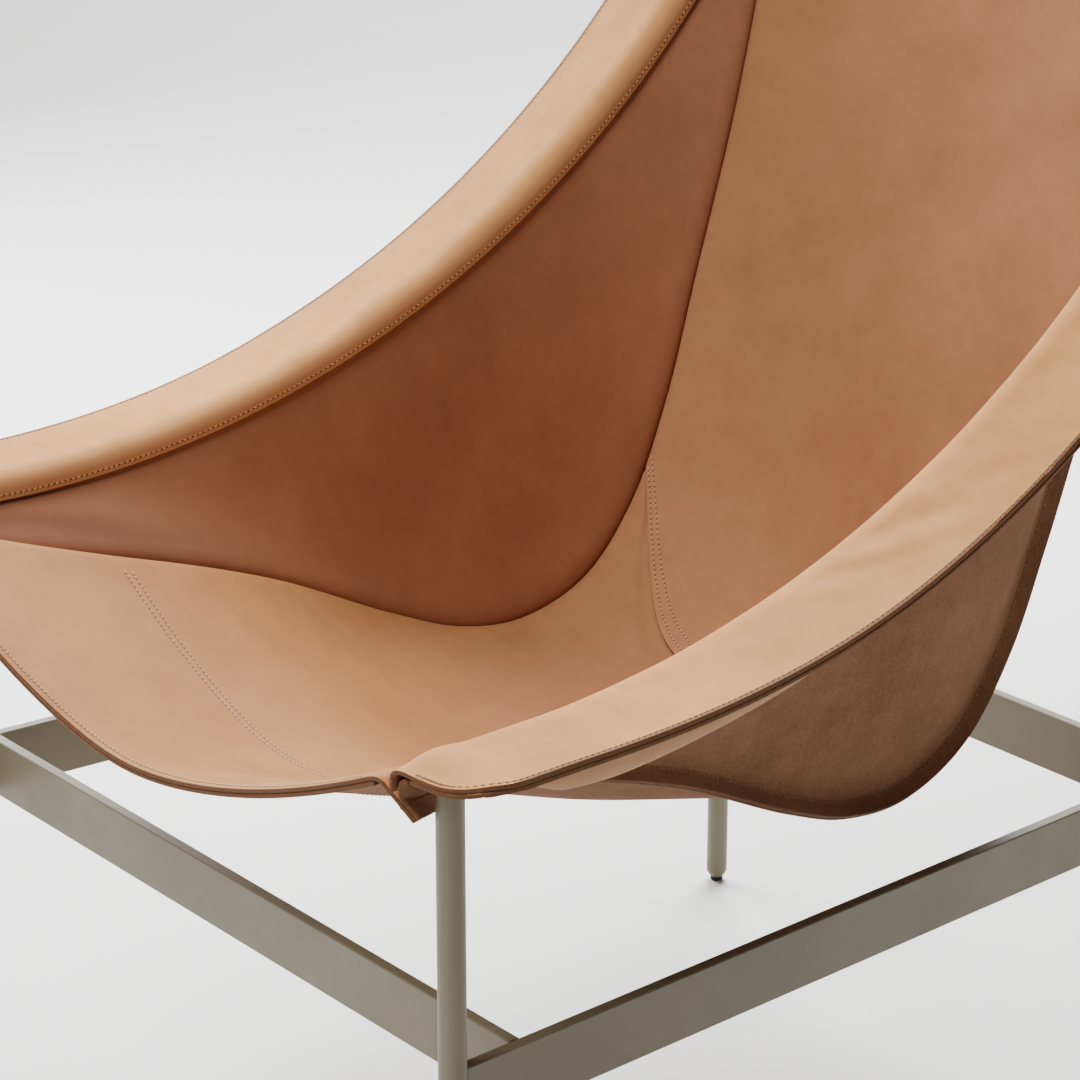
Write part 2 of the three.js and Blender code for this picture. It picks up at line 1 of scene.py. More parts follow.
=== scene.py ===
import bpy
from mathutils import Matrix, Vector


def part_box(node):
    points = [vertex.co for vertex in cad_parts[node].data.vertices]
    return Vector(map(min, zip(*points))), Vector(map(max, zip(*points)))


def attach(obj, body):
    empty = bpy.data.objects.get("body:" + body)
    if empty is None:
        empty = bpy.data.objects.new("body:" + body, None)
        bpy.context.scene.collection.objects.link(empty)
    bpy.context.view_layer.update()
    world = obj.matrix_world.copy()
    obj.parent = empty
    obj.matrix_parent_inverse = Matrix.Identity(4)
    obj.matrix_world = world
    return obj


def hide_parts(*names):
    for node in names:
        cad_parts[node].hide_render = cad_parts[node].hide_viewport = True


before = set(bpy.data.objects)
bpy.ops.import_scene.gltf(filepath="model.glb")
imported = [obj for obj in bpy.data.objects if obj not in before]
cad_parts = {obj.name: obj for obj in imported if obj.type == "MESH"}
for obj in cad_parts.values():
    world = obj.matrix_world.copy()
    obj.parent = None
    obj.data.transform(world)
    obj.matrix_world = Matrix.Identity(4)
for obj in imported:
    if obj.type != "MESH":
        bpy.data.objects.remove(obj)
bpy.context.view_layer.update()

import math

import bpy
import numpy as np

# The view of the chair: a long lens from the front left, looking down over the near arm.
# The lens is given by its focal length in picture widths, and nothing is shifted or blurred.
EYE = (1.8140, -1.5321, 1.3163)
EYE_TURN = math.radians(51.10)
EYE_DIP = math.radians(19.433)
FOCAL_WIDTHS = 3459.15 / 1080
SENSOR_W, FARTHEST = 36, 60
lens = bpy.data.cameras.new("view")
lens.sensor_fit = "HORIZONTAL"
lens.sensor_width = SENSOR_W
lens.lens = SENSOR_W * FOCAL_WIDTHS
lens.clip_end = FARTHEST
eye = bpy.data.objects.new("view", lens)
eye.location = EYE
eye.rotation_euler = (math.pi / 2 - EYE_DIP, 0, EYE_TURN)
bpy.context.scene.collection.objects.link(eye)
bpy.context.scene.camera = eye


# The base: flat steel bars on edge, welded to four round posts and powder coated warm grey.
# The bars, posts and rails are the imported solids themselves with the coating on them.
class Wire:
    """A socket in a finish's node tree; arithmetic on it adds Math nodes."""

    def __init__(self, finish, socket):
        self.finish, self.socket = finish, socket

    def math(self, operation, other):
        return self.finish.node("ShaderNodeMath", {"operation": operation}, {0: self, 1: other})

    def __add__(self, other):
        return self.math("ADD", other)

    def __mul__(self, other):
        return self.math("MULTIPLY", other)

    __radd__, __rmul__ = __add__, __mul__

    def span(self, low, high, to_low=0.0, to_high=1.0):
        """The value carried from low..high to to_low..to_high, held at both ends."""
        return self.finish.node("ShaderNodeMapRange", {"clamp": True},
                                {0: self, 1: low, 2: high, 3: to_low, 4: to_high})


class Finish:
    """A material under construction: one shader and the nodes that feed it."""

    def __init__(self, name, **sockets):
        self.material = bpy.data.materials.new(name)
        self.material.use_nodes = True
        self.tree = self.material.node_tree
        self.shader = self.tree.nodes["Principled BSDF"]
        for socket, value in sockets.items():
            self.shader.inputs[socket.replace("_", " ")].default_value = value

    def node(self, kind, settings=None, sockets=None, out=0):
        """One node of a kind: its settings are set first, then the values or links of its sockets."""
        made = self.tree.nodes.new(kind)
        for key, value in (settings or {}).items():
            setattr(made, key, value)
        for key, value in (sockets or {}).items():
            if isinstance(value, Wire):
                self.tree.links.new(value.socket, made.inputs[key])
            else:
                made.inputs[key].default_value = value
        return Wire(self, made.outputs[out])

    def place(self):
        """Object coordinates, in metres."""
        return self.node("ShaderNodeTexCoord", out="Object")

    def noise(self, scale, detail=3.0, rough=0.55, place=None):
        """Cloudy noise, scale clouds to the metre; it mostly stays between 0.3 and 0.7."""
        return self.node("ShaderNodeTexNoise", None, {"Vector": place or self.place(), "Scale": scale,
                                                      "Detail": detail, "Roughness": rough})

    def cells(self, scale, place):
        """The distance to the nearest border in a pattern of cells, scale cells to the metre."""
        return self.node("ShaderNodeTexVoronoi", {"feature": "DISTANCE_TO_EDGE"},
                         {"Vector": place, "Scale": scale})

    def stretched(self, x, y, z):
        """Object coordinates multiplied along each axis, which packs a pattern closer along it."""
        return self.node("ShaderNodeMapping", None, {"Vector": self.place(), "Scale": (x, y, z)})

    def painted_shade(self):
        """The sheet's map of painted shade: 0 none, 1 the shade tint, 2 the darker shade of a rim."""
        return self.node("ShaderNodeAttribute", {"attribute_name": "painted_shade"}, out="Fac")

    def blend(self, factor, low, high):
        """The colour between low and high; each is a wire or four numbers."""
        return self.node("ShaderNodeMix", {"data_type": "RGBA"}, {"Factor": factor, 6: low, 7: high}, out=2)

    def tint(self, factor, low, high):
        """The colour between two plain colours."""
        return self.blend(factor, (*low, 1), (*high, 1))

    def feed(self, **sockets):
        """Link each wire to the shader's socket of that name."""
        for socket, wire in sockets.items():
            self.tree.links.new(wire.socket, self.shader.inputs[socket.replace("_", " ")])

    def bump(self, height, strength, distance):
        """Relief: a height that tilts the shader's normal."""
        self.feed(Normal=self.node("ShaderNodeBump", None, {"Height": height, "Strength": strength,
                                                            "Distance": distance}))


SWING = (0.3, 0.7)
COATING_LOW, COATING_HIGH = (0.146, 0.124, 0.077), (0.172, 0.147, 0.093)
coating = Finish("warm_grey_powder_coat", Specular_IOR_Level=0.35)
coating.feed(Base_Color=coating.tint(coating.noise(7.0, 4.0).span(*SWING), COATING_LOW, COATING_HIGH),
             Roughness=coating.noise(60.0, 2.0).span(*SWING, 0.40, 0.50))
coating.bump(coating.noise(1500.0, 2.0), 0.12, 0.0002)


def dress(finish, *starts):
    """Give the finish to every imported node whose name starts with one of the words."""
    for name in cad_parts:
        if name.startswith(starts):
            mesh = bpy.data.objects[name].data
            mesh.materials.clear()
            mesh.materials.append(finish.material)


dress(coating, "side_bar", "cross_bar", "post_", "arm_rail")

# The glides: black moulded pads on zinc-plated threaded studs that screw into the post ends.
# The grub screws that hold the rails on the posts are the same plated steel.
PAD_LOW, PAD_HIGH = (0.010, 0.010, 0.011), (0.022, 0.022, 0.023)
ZINC_LOW, ZINC_HIGH = (0.50, 0.51, 0.53), (0.66, 0.66, 0.67)
moulding = Finish("black_moulded_pad", Specular_IOR_Level=0.3)
moulding.feed(Base_Color=moulding.tint(moulding.noise(300.0).span(0.35, 0.65), PAD_LOW, PAD_HIGH),
              Roughness=moulding.noise(900.0).span(*SWING, 0.55, 0.75))
moulding.bump(moulding.noise(2500.0), 0.2, 0.0002)
plating = Finish("zinc_plated_steel", Metallic=1.0)
plating.feed(Base_Color=plating.tint(plating.noise(160.0).span(*SWING), ZINC_LOW, ZINC_HIGH),
             Roughness=plating.noise(700.0).span(*SWING, 0.25, 0.42))
plating.bump(plating.noise(1200.0, place=plating.stretched(1, 1, 12)), 0.15, 0.0002)
dress(moulding, "glide_pad")
dress(plating, "glide_stud", "grub_screw")

# The rail line that carries the sling: level behind the front post, then one arc up to the rear post.
# Lengths in this file's shapes are millimetres; the posts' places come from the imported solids.
ARM_AXIS_H, ARM_LEVEL_RUN, ARM_RADIUS, POST_R = 508.0, 68.0, 822.0, 9.0
front_post = np.mean(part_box("post_front_left"), axis=0) * 1000
rear_post = np.mean(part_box("post_rear_left"), axis=0) * 1000
side_run = rear_post[:2] - front_post[:2]
SIDE_LENGTH = float(np.hypot(*side_run))
ALONG = np.array([*side_run / SIDE_LENGTH, 0.0])
OUT = np.array([ALONG[1], -ALONG[0], 0.0])
UP = np.array([0.0, 0.0, 1.0])
SIDE_SLOPE = -side_run[0] / side_run[1]
ARC_TURN = math.asin((SIDE_LENGTH - ARM_LEVEL_RUN) / ARM_RADIUS)
RAIL_LENGTH = ARM_LEVEL_RUN + ARM_RADIUS * ARC_TURN


def smooth(low, high, x):
    """The cubic step: 0 below low, 1 above high, 3t^2 - 2t^3 between."""
    t = np.clip((np.asarray(x, float) - low) / (high - low), 0, 1)
    return t * t * (3 - 2 * t)


def rail_point(u, b, n):
    """The point u along the left rail from the front post, b out from it and n above it, square to it."""
    u, b, n = np.broadcast_arrays(np.asarray(u, float), b, n)
    turn = np.clip((u - ARM_LEVEL_RUN) / ARM_RADIUS, 0, ARC_TURN)
    after = np.maximum(u - RAIL_LENGTH, 0)
    run = np.minimum(u, ARM_LEVEL_RUN) + ARM_RADIUS * np.sin(turn) + after * np.cos(turn)
    rise = ARM_RADIUS * (1 - np.cos(turn)) + after * np.sin(turn)
    run, rise = run - n * np.sin(turn), rise + n * np.cos(turn)
    start = np.array([front_post[0], front_post[1], ARM_AXIS_H])
    return start + run[..., None] * ALONG + rise[..., None] * UP + b[..., None] * OUT


# The sling's seam: the line where the seat and back panels are sewn to the side panels.
# It drops from the sleeve's front end, turns round the seat and climbs to the sleeve's top end.
LEATHER, FIT_GAP, SEAM_GAP = 3.0, 0.3, 0.2
PLY = LEATHER + FIT_GAP
SLEEVE_FRONT, SLEEVE_REAR = 31.0, 41.0
SLING_DEPTH, SEAM_INSET, FLANGE_W, HUMP = 375.0, 88.0, 15.5, 20.0
SEAM = np.array([  # shares: along the line between the seam's ends, of the depth, of the inset
    [0.0626, 0.1187, 0.557], [0.1191, 0.2315, 0.744], [0.1733, 0.3504, 0.818], [0.2453, 0.5360, 0.844],
    [0.3200, 0.7741, 0.852], [0.3668, 0.8997, 0.918], [0.4210, 0.9816, 0.951], [0.4902, 0.9997, 0.983],
    [0.5597, 0.9272, 1.000], [0.6316, 0.7829, 0.992], [0.7147, 0.5840, 0.926], [0.8197, 0.3611, 0.749],
    [0.9038, 0.1901, 0.519]])


def lap_out(ply):
    """How far in from the rail's middle a layer lies, counted in plies from the rail."""
    return -(POST_R + FIT_GAP + LEATHER / 2 + ply * PLY)


SEAM_END_B, SEAM_END_N = lap_out(1) - 3.4, -15.5
SEAM_START, HANG_START, SEAM_STOP = 7.0, 2.5, 6.0
FRONT_U, HANG_FRONT_U = SEAM_START - SLEEVE_FRONT, HANG_START - SLEEVE_FRONT
TOP_U = RAIL_LENGTH + SLEEVE_REAR - SEAM_STOP


def seam_points():
    """The seam's ends on the sleeves; between them, points along and below the line that joins the ends."""
    a, b = rail_point(FRONT_U, SEAM_END_B, SEAM_END_N), rail_point(TOP_U, SEAM_END_B, SEAM_END_N)
    sleeve_end = rail_point(-SLEEVE_FRONT, SEAM_END_B, SEAM_END_N)
    line = (b - sleeve_end) * [0, 1, 1]
    down = np.array([0, line[2], -line[1]]) / np.hypot(line[1], line[2])
    mid = sleeve_end + SEAM[:, :1] * line + SEAM[:, 1:2] * SLING_DEPTH * down
    mid[:, 0] = front_post[0] - (mid[:, 1] - front_post[1]) * SIDE_SLOPE - SEAM[:, 2] * SEAM_INSET
    return np.vstack([a, mid, b])


def through(points, steps):
    """A smooth curve through points: on each span a cubic, its slopes weighed by the root of the lengths."""
    p = np.concatenate([2 * points[:1] - points[1:2], points, 2 * points[-1:] - points[-2:-1]])
    d = np.sqrt(np.linalg.norm(np.diff(p, axis=0), axis=-1, keepdims=True))
    p0, p1, p2, p3 = p[:-3], p[1:-2], p[2:-1], p[3:]
    d0, d1, d2 = d[:-2], d[1:-1], d[2:]
    m1 = ((p1 - p0) / d0 - (p2 - p0) / (d0 + d1) + (p2 - p1) / d1) * d1
    m2 = ((p2 - p1) / d1 - (p3 - p1) / (d1 + d2) + (p3 - p2) / d2) * d1
    w = np.linspace(0, 1, steps, endpoint=False).reshape(1, -1, *[1] * (points.ndim - 1))
    c2, c3 = -3 * p1 + 3 * p2 - 2 * m1 - m2, 2 * p1 - 2 * p2 + m1 + m2
    spans = p1[:, None] + m1[:, None] * w + c2[:, None] * w ** 2 + c3[:, None] * w ** 3
    return np.concatenate([spans.reshape(-1, *points.shape[1:]), points[-1:]])


def run_along(steps, axis=0):
    """The distance run along a line of points, counted from 0 at its first point."""
    length = np.cumsum(np.linalg.norm(np.diff(steps, axis=axis), axis=-1), axis=axis)
    return np.concatenate([np.zeros_like(np.take(length, [0], axis)), length], axis=axis)


SEAM_STEPS = 200
seam_line = through(seam_points(), SEAM_STEPS)
seam_run = run_along(seam_line)
SEAM_LENGTH = seam_run[-1]


def unit(v):
    """Each vector divided by its own length."""
    return v / np.maximum(np.linalg.norm(v, axis=-1, keepdims=True), 1e-9)


def dot(a, b):
    """The sum of the products of each pair of vectors."""
    return (a * b).sum(-1, keepdims=True)


def seam_at(s):
    """The seam's point at each share s of its length."""
    return np.stack([np.interp(s * SEAM_LENGTH, seam_run, seam_line[:, k]) for k in range(3)], -1)


FRONT_SAG, SEAT_SAG, BEND_SAG, TOP_SAG, SAG_REACH = 85.5, 79.0, 13.0, 40.0, 0.05
SAG_AT = np.array([0, 0.13, 0.27, 0.31, 0.345, 0.4, 0.46, 0.54, 0.75, 0.9, 1])
SAG = np.array([FRONT_SAG, 1.035 * FRONT_SAG, SEAT_SAG, 0.88 * SEAT_SAG, 0.66 * SEAT_SAG, 0.36 * SEAT_SAG,
                1.3 * BEND_SAG, BEND_SAG, 1.15 * BEND_SAG, 0.6 * TOP_SAG, TOP_SAG])


def sag_at(s):
    """The sling's depth between its seams: the keyed depths, run together over a twentieth of the seam."""
    reach = np.linspace(-SAG_REACH, SAG_REACH, 15)
    weight = np.cos(reach / SAG_REACH * math.pi / 2) ** 2 + 1e-6
    return np.tensordot(np.interp(s[..., None] + reach, SAG_AT, SAG), weight / weight.sum(), axes=(-1, 0))


BELLY, BELLY_MORE, BELLY_FULL, MIDDLE_ROUND = 1.6, 0.25, 0.3, 0.12


def belly(s):
    """The power of the sag's curve across the chair, which grows from the front edge to the seat's depth."""
    return BELLY + BELLY_MORE * smooth(0, BELLY_FULL, s)


def sag_share(s, xi):
    """1 in the middle and 0 at both seams: one less a rounded power of the distance from the middle."""
    power = belly(s) / 2
    at = lambda x: (x * x + MIDDLE_ROUND * MIDDLE_ROUND) ** power
    return 1 - (at(xi) - at(0)) / (at(1) - at(0))


SLOPE_STEP, PLUMB_UNTIL, HANG_N = 0.004, 0.35, -10.0
EDGE_LIFT, HUMP_UNTIL, HUMP_POWER = 2, 0.16, 1.5


def section(s):
    """The seam's section: where each panel turns into the sewn flange and where the flange ends."""
    s = np.clip(np.asarray(s, float), 0, 1)
    p = seam_at(s)
    t = unit(seam_at(np.minimum(s + SLOPE_STEP, 1)) - seam_at(np.maximum(s - SLOPE_STEP, 0)))
    flat = unit(np.stack([np.zeros_like(s), t[..., 2], -t[..., 1]], -1))
    down = unit(-UP + (flat + UP) * smooth(0, PLUMB_UNTIL, s)[..., None])
    sag = sag_at(s)
    hang = rail_point(HANG_FRONT_U + (TOP_U - HANG_FRONT_U) * s, lap_out(1), HANG_N)
    from_side = p - hang
    from_side = unit(from_side - t * dot(from_side, t))
    from_seat = np.array([1.0, 0, 0]) - down * (belly(s) * sag / p[..., 0])[..., None]
    from_seat = unit(from_seat - t * dot(from_seat, t))
    across = unit(from_seat - from_side)
    flange = unit(np.cross(across, t))
    flange = flange * np.where(dot(flange, down) < 0, -1, 1)
    shift = across * (LEATHER + SEAM_GAP) / 2
    lift = (EDGE_LIFT + (HUMP - EDGE_LIFT) * np.maximum(1 - s / HUMP_UNTIL, 0) ** HUMP_POWER)[..., None]
    return {"down": down, "sag": sag, "hang": hang, "flange": flange,
            "seat_edge": p - flange * lift - shift, "seat_tip": p + flange * FLANGE_W - shift,
            "side_edge": p + shift, "side_tip": p + flange * FLANGE_W + shift}


def sling_point(s, xi):
    """The seat and back surface: straight across between the seams at s, hung down by the sag there."""
    q = section(s)
    p = q["seat_edge"] * np.stack([xi, np.ones_like(xi), np.ones_like(xi)], -1)
    return p + q["down"] * (q["sag"] * sag_share(s, xi))[..., None]


FACING_SHARE, TOP_FACING_SHARE, LAP_SHARE, TONGUE_SHARE, TONGUE_POWER = 0.141, 0.1, 0.5853, 0.112, 2.8
LAP = 25.0 / SEAM_LENGTH


def tongue(s, xi):
    """The share at which a row crosses xi: near the lap it dips forward in the middle, as a tongue."""
    pull = smooth(FACING_SHARE, LAP_SHARE - LAP, s) * (1 - smooth(LAP_SHARE + LAP, 1 - TOP_FACING_SHARE, s))
    return s - TONGUE_SHARE * (1 - np.abs(xi) ** TONGUE_POWER) * pull


CORNER_IN, CORNER_ON = 10.0, 6.0
SPAN_COLUMNS, CORNER_COLUMNS, FLANGE_COLUMNS = 46, 10, 6
EDGE_COLUMNS = CORNER_COLUMNS + FLANGE_COLUMNS - 2


def corner(a, b, c, steps):
    """A rounded corner from a to c: the parabola that b pulls on."""
    w = np.linspace(0, 1, steps)[None, :, None]
    return a[:, None] * (1 - w) ** 2 + b[:, None] * 2 * w * (1 - w) + c[:, None] * w ** 2


def sling_rows(shares):
    """Rows of the seat or back from the right flange's edge to the left's: flange, corner, span and back."""
    q = section(shares)
    rim = 1 - CORNER_IN / q["seat_edge"][:, 0]
    xi = rim[:, None] * np.linspace(0, 1, SPAN_COLUMNS)[None, :]
    span = sling_point(tongue(shares[:, None] + 0 * xi, xi), xi)
    turn_end = q["seat_edge"] + q["flange"] * CORNER_ON
    bend = corner(span[:, -1], q["seat_edge"], turn_end, CORNER_COLUMNS)[:, 1:]
    w = np.linspace(0, 1, FLANGE_COLUMNS)[None, 1:, None]
    flange = turn_end[:, None] * (1 - w) + q["seat_tip"][:, None] * w
    half = np.concatenate([span, bend, flange], axis=1)
    return np.concatenate([half[:, :0:-1] * [-1, 1, 1], half], axis=1)


# The leather: thick vegetable-tanned hide, smooth grain inside, brushed flesh outside, dark cut edges.
# Every panel is a sheet of the hide's thickness whose cut edges are slightly rounded.
RIM, EDGE_ROUND = np.array([0.0, 0.25, 0.7, 1.3]), 3.5


def rimmed(grid):
    """The grid with lines added just inside its first and last rows, and each line's distance to them."""
    head, tail = unit(grid[1] - grid[0]), unit(grid[-2] - grid[-1])
    inner = RIM[1:, None, None]
    lines = np.concatenate([grid[:1], grid[0] + head * inner, grid[1:-1],
                            (grid[-1] + tail * inner)[::-1], grid[-1:]])
    away = np.full(len(lines), RIM[-1])
    away[:len(RIM)], away[-len(RIM):] = RIM, RIM[::-1]
    return lines, away


def facing_way(grid):
    """Unit normals of a grid: across the columns times along the rows."""
    return unit(np.cross(np.gradient(grid, axis=1), np.gradient(grid, axis=0)))


def ripple(grid, size, height):
    """A gentle unevenness of the hide: two pairs of long crossed waves over each point's place."""
    x, y, z = (grid[..., k] / size for k in range(3))
    wave = np.sin(5.1 * x + 2.3 * z + 0.7) * np.sin(3.7 * y - 1.9 * x + 1.1)
    wave = wave + 0.6 * np.sin(7.3 * z + 4.1 * y + 2.0) * np.sin(6.1 * x - 3.3 * y)
    return height * wave


def piece_of_chair(name, points, faces, finishes, which):
    """A smoothly shaded piece from points in millimetres, its faces, and which finish each face has."""
    mesh = bpy.data.meshes.new(name)
    mesh.from_pydata(points * 0.001, [], faces)
    for finish in finishes:
        mesh.materials.append(finish.material)
    mesh.polygons.foreach_set("material_index", which.astype(np.int32))
    mesh.polygons.foreach_set("use_smooth", np.ones(len(which), bool))
    mesh.update()
    piece = bpy.data.objects.new(name, mesh)
    bpy.context.scene.collection.objects.link(piece)
    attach(piece, "chair")
    return piece


def hide(name, grid, faces, painted_shade=None):
    """A closed sheet: the middle grid moved half the thickness both ways, meeting in a rounded edge.

    The finishes are those of the face, the reverse and the cut edge; the last argument holds a map of painted
    shade for face and reverse.
    """
    lines, row_away = rimmed(grid)
    turned, column_away = rimmed(lines.swapaxes(0, 1))
    middle = turned.swapaxes(0, 1)
    away = np.minimum(row_away[:, None], column_away[None, :]) / RIM[-1]
    half = LEATHER / 2 * (1 - (1 - away) ** EDGE_ROUND) ** (1 / EDGE_ROUND)
    normal = facing_way(middle) * half[..., None]
    rows, columns = middle.shape[:2]
    top = np.arange(rows * columns).reshape(rows, columns)
    low = top.copy()
    low[1:-1, 1:-1] = rows * columns + np.arange((rows - 2) * (columns - 2)).reshape(rows - 2, columns - 2)
    points = np.concatenate([(middle + normal).reshape(-1, 3), (middle - normal)[1:-1, 1:-1].reshape(-1, 3)])
    quad = lambda i: np.stack([i[:-1, :-1], i[:-1, 1:], i[1:, 1:], i[1:, :-1]], -1).reshape(-1, 4)
    cells = np.concatenate([quad(top), quad(low)[:, ::-1]])
    rim = (np.minimum(away[:-1, :-1], away[1:, 1:]) < 0.5).reshape(-1)
    which = np.concatenate([np.where(rim, 2, 0), np.where(rim, 2, 1)])
    piece = piece_of_chair(name, points, cells, faces, which)
    if painted_shade is not None:
        face, reverse = (np.pad(side, len(RIM) - 1, mode="edge") for side in painted_shade)
        rubbed = np.concatenate([face.reshape(-1), reverse[1:-1, 1:-1].reshape(-1)]).astype(np.float32)
        piece.data.attributes.new("painted_shade", "FLOAT", "POINT").data.foreach_set("value", rubbed)
    cell_areas = np.linalg.norm(np.cross(np.diff(grid, axis=0)[:, :-1], np.diff(grid, axis=1)[:-1]), axis=-1)
    return piece, float(cell_areas.sum() * 1e-6)


TONE_SWING = (0.38, 0.62)


def grain_finish(name, low, high, painted_shade=None, painted_rim_shade=None):
    """Smooth hide: cloudy tone, growth lines, pores and a soft waxed gloss.

    Where the sheet's map is 1 it takes the painted shade tint, and where it is 2 the darker painted shade of
    the rim.
    """
    f = Finish(name, Specular_IOR_Level=0.04)
    place = f.place()
    cloud, patch = f.noise(5.5, 5.0, 0.6, place), f.noise(19.0, 5.0, 0.62, place)
    fleck, streak = f.noise(85.0, 4.0, 0.65, place), f.noise(16.0, 4.0, 0.7, f.stretched(1.0, 5.0, 2.5))
    tone = (cloud * 0.42 + patch * 0.26 + streak * 0.16 + fleck * 0.16).span(*TONE_SWING)
    pores = f.cells(760.0, place).span(0.0, 0.09)
    crease = f.cells(210.0, place).span(0.0, 0.05)
    colour = f.tint(tone, low, high)
    if painted_shade:
        colour = f.blend(f.painted_shade().span(0, 1), colour, f.tint(tone, *painted_shade))
    if painted_rim_shade:
        colour = f.blend(f.painted_shade().span(1, 2), colour, (*painted_rim_shade, 1))
    f.feed(Base_Color=f.blend(pores.span(0, 1, 0.16, 0.0), colour, (*(0.55 * c for c in low), 1)),
           Roughness=(f.noise(140.0, 3.0, 0.6, place) * 0.14 + cloud * 0.08).span(0.0, 0.22, 0.50, 0.68))
    f.bump(pores * 0.5 + crease * 0.2 + fleck * 0.5 + streak * 0.5, 0.22, 0.0004)
    return f


def flesh_finish(name, low, high, painted_shade):
    """Brushed flesh side: blotchy, of short matted fibres, without gloss, darkened where the sheet's map
    paints shade.
    """
    f = Finish(name, Roughness=0.9, Specular_IOR_Level=0.05, Sheen_Weight=0.12, Sheen_Roughness=0.5,
               Sheen_Tint=(0.55, 0.30, 0.15, 1))
    place = f.place()
    cloud, patch = f.noise(8.0, 4.0, 0.6, place), f.noise(34.0, 5.0, 0.7, place)
    nap, brush = f.noise(420.0, 4.0, 0.75, place), f.noise(60.0, 4.0, 0.7, f.stretched(1.0, 3.0, 1.0))
    tone = (cloud * 0.30 + patch * 0.24 + brush * 0.08 + nap * 0.38).span(*TONE_SWING)
    f.feed(Base_Color=f.blend(f.painted_shade(), f.tint(tone, low, high), f.tint(tone, *painted_shade)))
    f.bump(nap + f.noise(1300.0, 2.0, 0.6, place) * 0.5, 0.35, 0.0006)
    return f


def edge_finish(name, low, high):
    """Cut edge: burnished dark brown, flecked by the ends of its fibres."""
    f = Finish(name, Specular_IOR_Level=0.1)
    fibre = f.noise(500.0, 4.0, 0.7)
    f.feed(Base_Color=f.tint(fibre.span(*SWING), low, high), Roughness=fibre.span(*SWING, 0.55, 0.75))
    f.bump(fibre, 0.4, 0.0003)
    return f


# The leather is one hide, and several of its finishes differ by painted light and shade.
# The second pair of colours is a painted shade tint that each sheet's map lays on; the bands' last colour is
# the darker painted shade of their rim.
# The side panels' grain is darkened as painted shade, the bands' grain is paler as painted light, and the
# underside's grain is paler as painted light from the floor.
seat_grain = grain_finish("seat_tan_grain", (0.330, 0.143, 0.053), (0.414, 0.195, 0.074),
                          ((0.325, 0.140, 0.065), (0.408, 0.191, 0.092)))
back_grain = grain_finish("back_tan_grain", (0.352, 0.154, 0.074), (0.440, 0.209, 0.103),
                          ((0.278, 0.117, 0.051), (0.350, 0.160, 0.073)))
grain_painted_light = grain_finish("tan_grain_painted_light", (0.428, 0.193, 0.060), (0.580, 0.278, 0.096),
                          ((0.460, 0.240, 0.118), (0.520, 0.280, 0.146)), (0.150, 0.062, 0.027))
side_grain_painted_shade = grain_finish("tan_grain_painted_shade", (0.244, 0.097, 0.050), (0.300, 0.128, 0.068),
                          ((0.146, 0.054, 0.026), (0.184, 0.073, 0.036)))
underside_grain_painted_light = grain_finish("tan_grain_painted_floor_light", (0.350, 0.180, 0.092), (0.420, 0.226, 0.120))
flesh = flesh_finish("brown_flesh_side", (0.136, 0.062, 0.033), (0.250, 0.122, 0.069),
                     ((0.124, 0.056, 0.030), (0.212, 0.101, 0.056)))
cut_edge = edge_finish("brown_cut_edge", (0.088, 0.034, 0.014), (0.172, 0.072, 0.031))

# The seat panel runs from the front edge to the lap under the back's tongue.
# Its front strip is doubled underneath by a facing, and its sides are turned down into the seam flanges.
# Towards the lap it drops by one ply to make room for the back, and its colour turns a little cooler there, a
# painted tint for the shade it lies in.
SEAT_ROWS, LAP_ROWS, CALM_EDGE = 130, 34, 60
SEAT_WAVE, SEAT_RIPPLE = 140, 0.5
seat_shares = np.concatenate([np.linspace(0, LAP_SHARE - LAP, SEAT_ROWS),
                              np.linspace(LAP_SHARE - LAP, LAP_SHARE + LAP, LAP_ROWS)[1:]])
seat_grid = sling_rows(seat_shares)
seat_side = np.abs(np.linspace(-1, 1, seat_grid.shape[1]))[None, :]
seat_rim, flat_rim = smooth(0.68, 0.76, seat_side), 1 - smooth(0.6, 0.72, seat_side)
drop_from, drop_to = LAP_SHARE - LAP * (0.9 - 0.7 * seat_rim), LAP_SHARE - LAP * (0.3 - 0.27 * seat_rim)
seat_drop = -PLY * smooth(drop_from, drop_to, seat_shares[:, None])
seat_calm = smooth(0, CALM_EDGE, seat_shares * SEAM_LENGTH)[:, None] * flat_rim
seat_move = seat_drop + ripple(seat_grid, SEAT_WAVE, SEAT_RIPPLE) * seat_calm
seat_grid = seat_grid + facing_way(seat_grid) * seat_move[..., None]
# Painted shade: the map that lays the cooler shade tint on the seat towards the lap.
seat_deep = smooth(0.3, 0.5, seat_shares)[:, None] + 0 * flat_rim
seat, seat_area = hide("seat_panel_hide", seat_grid, (seat_grain, flesh, cut_edge),
                       (seat_deep, 0 * seat_deep))
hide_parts("seat_panel")


def at_share(grid, shares, s):
    """Points of a grid at given shares of the seam, one for each column, and the normals there."""
    columns = np.arange(grid.shape[1])
    k = np.interp(s, shares, np.arange(len(shares))) + 0.0 * columns
    i = np.minimum(k.astype(int), len(shares) - 2)
    w = (k - i)[..., None]
    pick = lambda g: g[i, columns] * (1 - w) + g[i + 1, columns] * w
    return pick(grid), unit(pick(facing_way(grid)))


FACING_SKEW, FACING_ROWS, FACING_EDGE = 0.075, 44, EDGE_COLUMNS - 3
facing_skew = 1 + FACING_SKEW * smooth(0.1, 0.8, np.linspace(-1, 1, seat_grid.shape[1]))
facing_shares = np.linspace(0, FACING_SHARE, FACING_ROWS)
facing_grid = at_share(seat_grid, seat_shares, facing_shares[:, None] * facing_skew)[0]
facing_grid = facing_grid[:, FACING_EDGE:-FACING_EDGE]
facing_grid = facing_grid - facing_way(facing_grid) * PLY
front_facing, front_facing_area = hide("front_facing_hide", facing_grid, (seat_grain, flesh, cut_edge))
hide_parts("front_facing")
